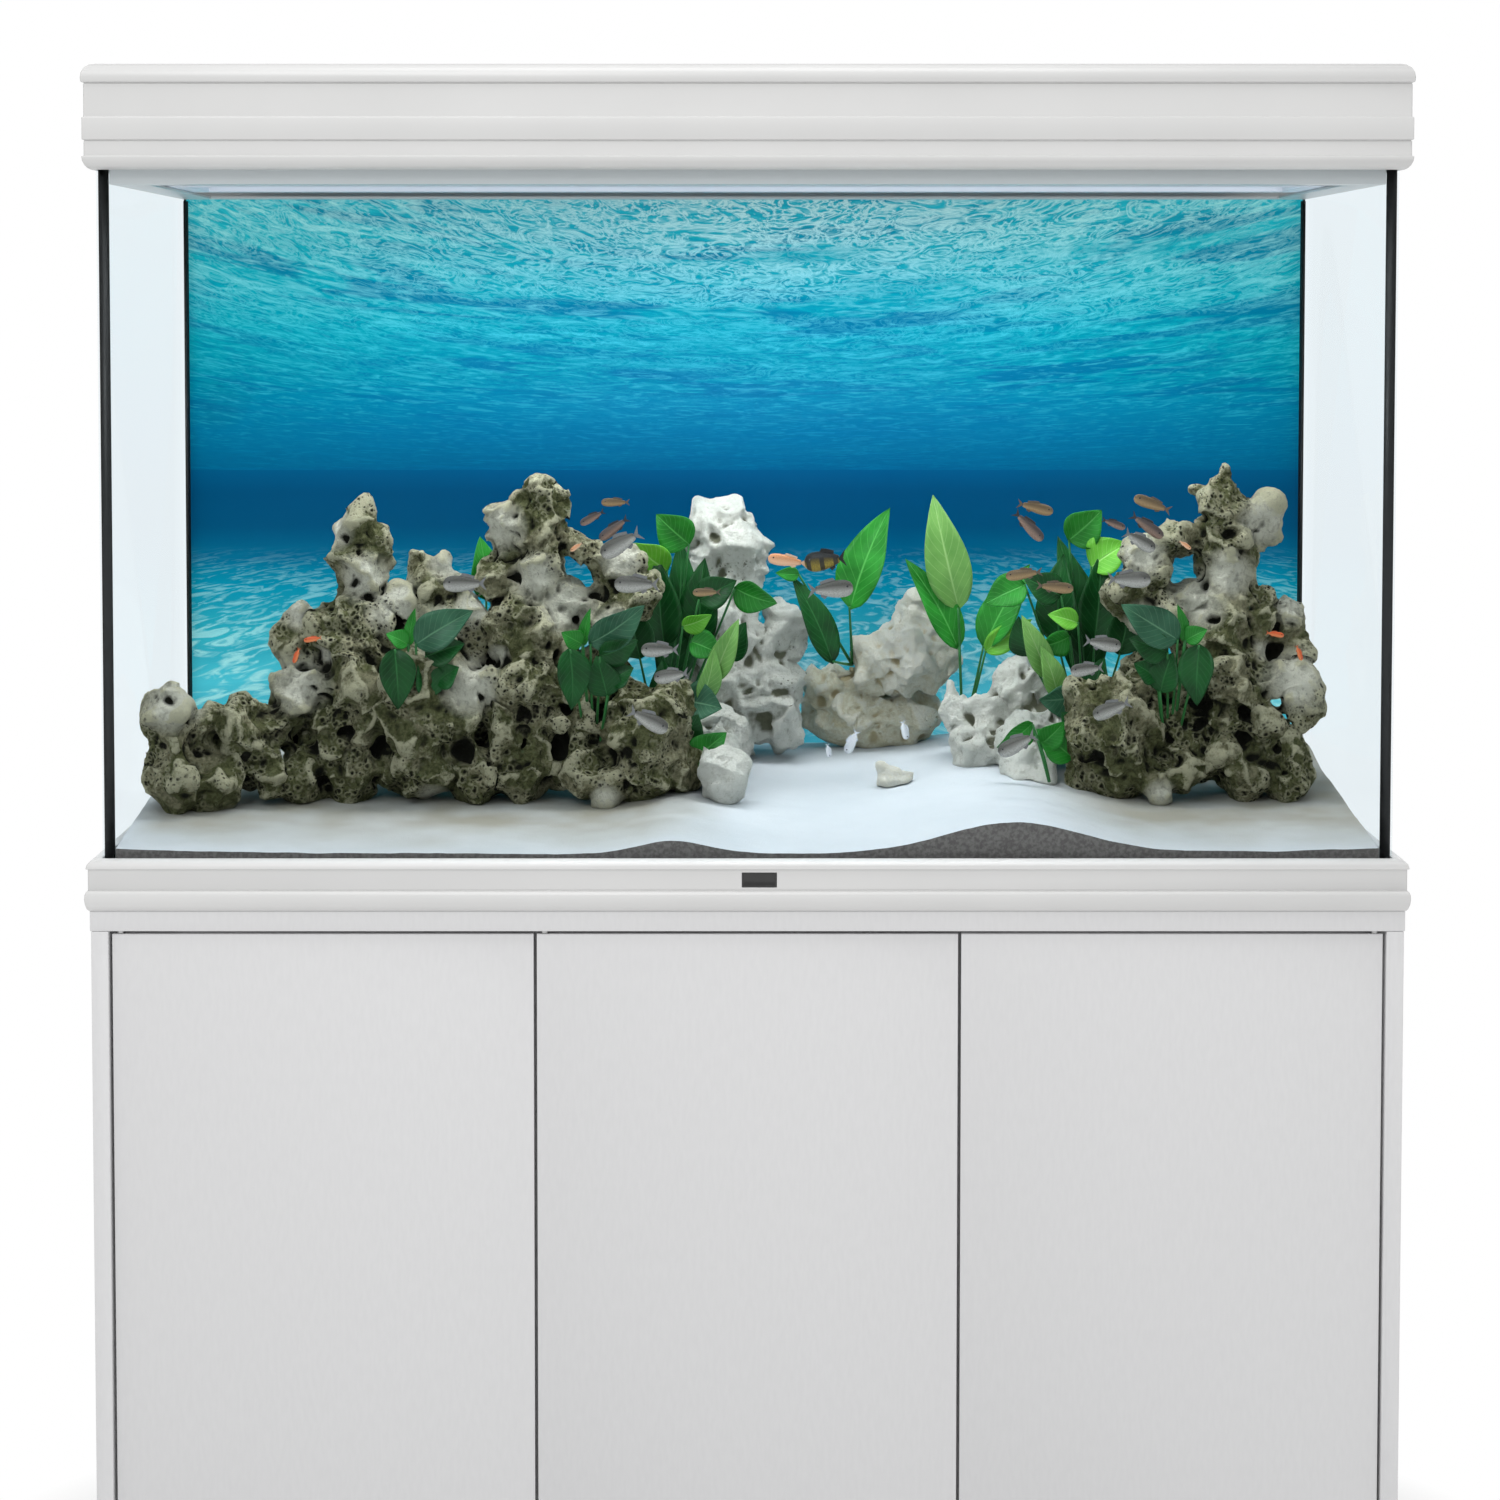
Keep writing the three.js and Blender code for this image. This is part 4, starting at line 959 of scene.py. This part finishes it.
BRIGHT_LEAVES = (
    (220, 128, 1028, 192, 1146, 43, LIGHT), (222, 130, 988, 172, 1084, 35, MID),
    (244, 126, 990, 288, 1078, 37, MID), (246, 124, 986, 294, 1020, 25, BRIGHT),
)
FRONT_LEAVES = (
    (284, -34, 930, 250, 904, 26, MID), (292, -14, 906, 316, 928, 26, MID),
)


def on_pile(leaves, pile):
    middle, side, lift = PILE_MIDDLES[pile]
    return [
        (middle + side * x0, y, z0 + lift, middle + side * x1, z1 + lift, PILE_LEAF_BREADTH * width, tone)
        for x0, y, z0, x1, z1, width, tone in leaves
    ]


def add_plants():
    greens = [
        leaf_look("leaf_dark", (0.003, 0.03, 0.006), (0.008, 0.085, 0.016), (0.03, 0.15, 0.04)),
        leaf_look("leaf_mid", (0.010, 0.13, 0.012), (0.028, 0.27, 0.03), (0.09, 0.40, 0.08)),
        leaf_look("leaf_light", (0.10, 0.26, 0.055), (0.17, 0.36, 0.09), (0.3, 0.5, 0.18)),
        leaf_look("leaf_bright", (0.08, 0.34, 0.02), (0.16, 0.48, 0.05), (0.3, 0.62, 0.16)),
        leaf_look("leaf_teal", (0.015, 0.07, 0.035), (0.045, 0.15, 0.08), (0.12, 0.27, 0.15)),
    ]
    add_plant("plant_middle_leaves", (-84, 104), on_pile(BUSH, "middle"), greens, "plant_middle")
    add_plant("plant_centre_leaves", (112, 176, 968), CENTRE_LEAVES, greens, "plant_centre")
    add_plant("plant_bright_leaves", (226, 156), BRIGHT_LEAVES, greens, "plant_bright")
    add_plant("plant_right_leaves", (350, 112), on_pile(BUSH, "right"), greens, "plant_right")
    add_plant("plant_wing_leaves", (-262, 80), on_pile(WING_LEAVES, "middle"), greens)
    add_plant("plant_front_leaves", (300, -30), FRONT_LEAVES, greens)
    for index, pile in enumerate(("left", "middle", "right")):
        middle, side, _ = PILE_MIDDLES[pile]
        add_plant(f"plant_sprig_{pile}", (middle + 78 * side, 24), on_pile(SPRIG, pile), greens)


add_plants()


# ---- fish ---------------------------------------------------------------
# Fish as (x, z, length, heading, kind): heading in degrees, 0 to the right and 90 upwards.
FISH = (
    (-126, 1152, 28, 180, "tan"), (-148, 1138, 27, 208, "brown"), (-127, 1128, 35, 217, "brown"),
    (-120, 1114, 45, 210, "silver"), (-164, 1109, 14, 215, "orange"), (-271, 1074, 42, 180, "silver"),
    (-105, 1074, 44, 180, "silver"), (-416, 1022, 18, 190, "red"), (-435, 1004, 16, 250, "red"),
    (-83, 1010, 37, 180, "silver"), (-72, 986, 35, 190, "silver"), (-95, 944, 42, -27, "silver"),
    (-38, 1065, 28, 180, "tan"), (40, 1096, 39, 172, "orange"), (76, 1097, 41, 188, "banded"),
    (80, 1070, 44, 3, "silver"), (278, 1147, 37, -14, "tan"), (271, 1130, 39, -45, "brown"),
    (267, 1084, 36, 188, "tan"), (295, 1072, 37, -6, "tan"), (392, 1150, 39, 160, "tan"),
    (385, 1130, 38, -35, "brown"), (377, 1116, 34, -30, "silver"), (351, 1133, 25, -20, "brown"),
    (423, 1111, 14, -35, "orange"), (368, 1078, 42, 0, "silver"), (342, 1017, 36, -10, "silver"),
    (327, 993, 33, 186, "silver"), (354, 952, 39, 202, "silver"), (262, 919, 41, 208, "silver"),
    (508, 1026, 18, -10, "red"), (530, 1009, 16, -70, "red"), (84, 892, 14, -80, "pale"),
    (108, 901, 26, -115, "pale"), (161, 913, 20, -75, "pale"),
)
FISH_DEPTH = {"pale": 60}
BODY_HEIGHT = {"banded": 0.44, "silver": 0.36, "pale": 0.36}


def fish_mesh(length, height):
    """A fish along +X: lofted body, forked tail, back, belly and side fins, and two eyes."""
    target = bmesh.new()
    uv = target.loops.layers.uv.new("blade")
    stations, around = 16, 12
    rings = []
    for i in range(stations + 1):
        t = i / stations
        tall = height * (math.sin(math.pi * min(1.0, 0.06 + 0.86 * (1 - t) ** 0.62)) ** 0.8 * 0.5 + 0.035)
        wide = 0.42 * tall
        ring = []
        for k in range(around):
            turn = 2.0 * math.pi * k / around
            spot = (0.82 * length * (t - 0.5) + 0.09 * length, wide * math.cos(turn), tall * math.sin(turn))
            ring.append((target.verts.new(spot), (t, 0.5 + 0.5 * math.sin(turn))))
        rings.append(ring)
    for low, high in zip(rings, rings[1:]):
        for k in range(around):
            add_face(target, uv, (low[k - 1], low[k], high[k], high[k - 1]), 0)
    add_face(target, uv, rings[0], 0)
    add_face(target, uv, rings[-1][::-1], 0)
    half = 0.5 * length
    tail = 0.5 * height
    fins = (
        ((-0.60, 0.04), (-0.60, -0.04), (-0.98, -0.95), (-0.82, 0.0), (-0.98, 0.95)),
        ((0.30, 0.85), (-0.40, 0.35), (-0.44, 0.95), (-0.10, 1.25), (0.14, 1.35)),
        ((-0.10, -0.75), (-0.24, -1.15), (-0.42, -0.85), (-0.40, -0.35), (-0.25, -0.5)),
        ((0.30, -0.7), (0.14, -1.1), (0.10, -0.75), (0.12, -0.6), (0.2, -0.6)),
    )
    for fin in fins:
        sides = []
        for side in (1, -1):
            spots = [(x * half, side * 0.012 * height, z * tail) for x, z in fin]
            sides.append([(target.verts.new(spot), (0.0, 1.0)) for spot in spots])
        add_face(target, uv, sides[0], 1)
        add_face(target, uv, sides[1][::-1], 1)
        for k in range(len(fin)):
            add_face(target, uv, (sides[0][k], sides[0][k - 1], sides[1][k - 1], sides[1][k]), 1)
    for side in (1, -1):
        eye = bmesh.ops.create_uvsphere(target, u_segments=10, v_segments=6, radius=0.085 * height + 0.0002)
        place = Vector((0.74 * half, side * 0.12 * height, 0.12 * height))
        bmesh.ops.translate(target, verts=eye["verts"], vec=place)
        for face in {face for vert in eye["verts"] for face in vert.link_faces}:
            face.material_index = 2
            face.smooth = True
    bmesh.ops.recalc_face_normals(target, faces=target.faces)
    mesh = bpy.data.meshes.new("fish")
    target.to_mesh(mesh)
    target.free()
    return mesh


def add_face(target, uv, corners, material_index):
    face = target.faces.new([corner[0] for corner in corners])
    face.material_index = material_index
    face.smooth = material_index == 0
    for loop, corner in zip(face.loops, corners):
        loop[uv].uv = corner[1]


def add_fish():
    looks = {
        "silver": fish_look("fish_silver", (0.07, 0.068, 0.06), (0.44, 0.43, 0.40), (0.14, 0.135, 0.12)),
        "pale": fish_look("fish_pale", (0.52, 0.55, 0.60), (0.80, 0.82, 0.86), (0.62, 0.65, 0.7)),
        "tan": fish_look("fish_tan", (0.12, 0.085, 0.05), (0.36, 0.24, 0.12), (0.22, 0.14, 0.07)),
        "brown": fish_look("fish_brown", (0.06, 0.05, 0.05), (0.30, 0.20, 0.15), (0.12, 0.08, 0.07)),
        "orange": fish_look("fish_orange", (0.62, 0.25, 0.10), (0.80, 0.46, 0.28), (0.75, 0.45, 0.3)),
        "red": fish_look("fish_red", (0.60, 0.08, 0.02), (0.72, 0.22, 0.08), (0.6, 0.15, 0.05)),
        "banded": fish_look("fish_banded", (0.02, 0.02, 0.02), (0.30, 0.22, 0.03),
                            (0.015, 0.015, 0.015), 16.0),
    }
    fins = {kind: fin_look(f"fin_{kind}", kind) for kind in looks}
    eye = eye_look()
    for index, (x, z, length, heading, kind) in enumerate(FISH):
        tall = BODY_HEIGHT.get(kind, 0.27)
        mesh = fish_mesh(length * MM, tall * length * MM)
        depth = FISH_DEPTH.get(kind, -104 - 9 * (index % 4))
        flip = math.cos(math.radians(heading)) < 0
        pitch = math.radians(180 - heading if flip else heading)
        yaw = math.radians(180 if flip else 0) + 0.18 * math.sin(1.7 * index)
        turn = Matrix.Rotation(yaw, 4, "Z") @ Matrix.Rotation(-pitch, 4, "Y")
        mesh.transform(Matrix.Translation((x * MM, depth * MM, z * MM)) @ turn)
        add_piece(f"fish_{index + 1:02d}", mesh, looks[kind])
        mesh.materials.append(fins[kind])
        mesh.materials.append(eye)


add_fish()


# ---- floor and light ----------------------------------------------------
def add_floor():
    """A pale floor that fades into the white studio beyond the object's own shadow."""
    mesh = bpy.data.meshes.new("floor")
    half = 14.0
    corners = [(-half, -half, 0), (half, -half, 0), (half, half, 0), (-half, half, 0)]
    mesh.from_pydata(corners, [], [(0, 1, 2, 3)])
    look = Look("floor")
    look.colour(look.ramp(look.noise(0.5, 3), (0.3, 0.80), (0.7, 0.83))).roughness(0.6)
    glow = look.new("ShaderNodeEmission")
    glow.inputs["Color"].default_value = (1.0, 1.0, 1.0, 1.0)
    away = look.new("ShaderNodeVectorMath", operation="LENGTH")
    look.feed(away.inputs[0], look.place)
    fade = look.rise(look.math("DIVIDE", away.outputs["Value"], 2.0), 0.33, 0.46)
    look.blend(fade, look.shader.outputs[0], glow.outputs[0])
    mesh.materials.append(look.material)
    floor = bpy.data.objects.new("floor", mesh)
    floor.location = (0.0, 0.0, -0.001)
    bpy.context.scene.collection.objects.link(floor)


def add_area(name, place, target, size, power, seen=True):
    data = bpy.data.lights.new(name, "AREA")
    data.shape = "RECTANGLE"
    data.size, data.size_y = size
    data.energy = power
    lamp = bpy.data.objects.new(name, data)
    lamp.location = place
    lamp.rotation_euler = (Vector(target) - Vector(place)).to_track_quat("-Z", "Y").to_euler()
    lamp.visible_camera = seen
    lamp.visible_glossy = seen
    bpy.context.scene.collection.objects.link(lamp)


def add_light():
    world = bpy.data.worlds.new("studio")
    world.use_nodes = True
    tree = world.node_tree
    backdrop = tree.nodes["Background"]
    backdrop.inputs["Color"].default_value = (1.0, 1.0, 1.0, 1.0)
    backdrop.inputs["Strength"].default_value = 0.64
    seen = tree.nodes.new("ShaderNodeBackground")
    seen.inputs["Color"].default_value = (1.0, 1.0, 1.0, 1.0)
    seen.inputs["Strength"].default_value = 1.0
    path = tree.nodes.new("ShaderNodeLightPath")
    blend = tree.nodes.new("ShaderNodeMixShader")
    tree.links.new(path.outputs["Is Camera Ray"], blend.inputs[0])
    tree.links.new(backdrop.outputs[0], blend.inputs[1])
    tree.links.new(seen.outputs[0], blend.inputs[2])
    tree.links.new(blend.outputs[0], tree.nodes["World Output"].inputs["Surface"])
    bpy.context.scene.world = world
    add_area("key", (-1.6, -3.2, 3.4), (0.0, 0.0, 0.9), (2.4, 1.6), 52.0)
    add_area("top", (0.0, -0.6, 3.6), (0.0, 0.0, 1.2), (2.6, 1.6), 34.0)
    add_area("tank_lamp", (0.0, 0.0, 1.452), (0.0, 0.0, 0.8), (1.06, 0.13), 5.4, seen=False)


add_floor()
add_light()
bpy.context.scene.view_settings.view_transform = "Standard"
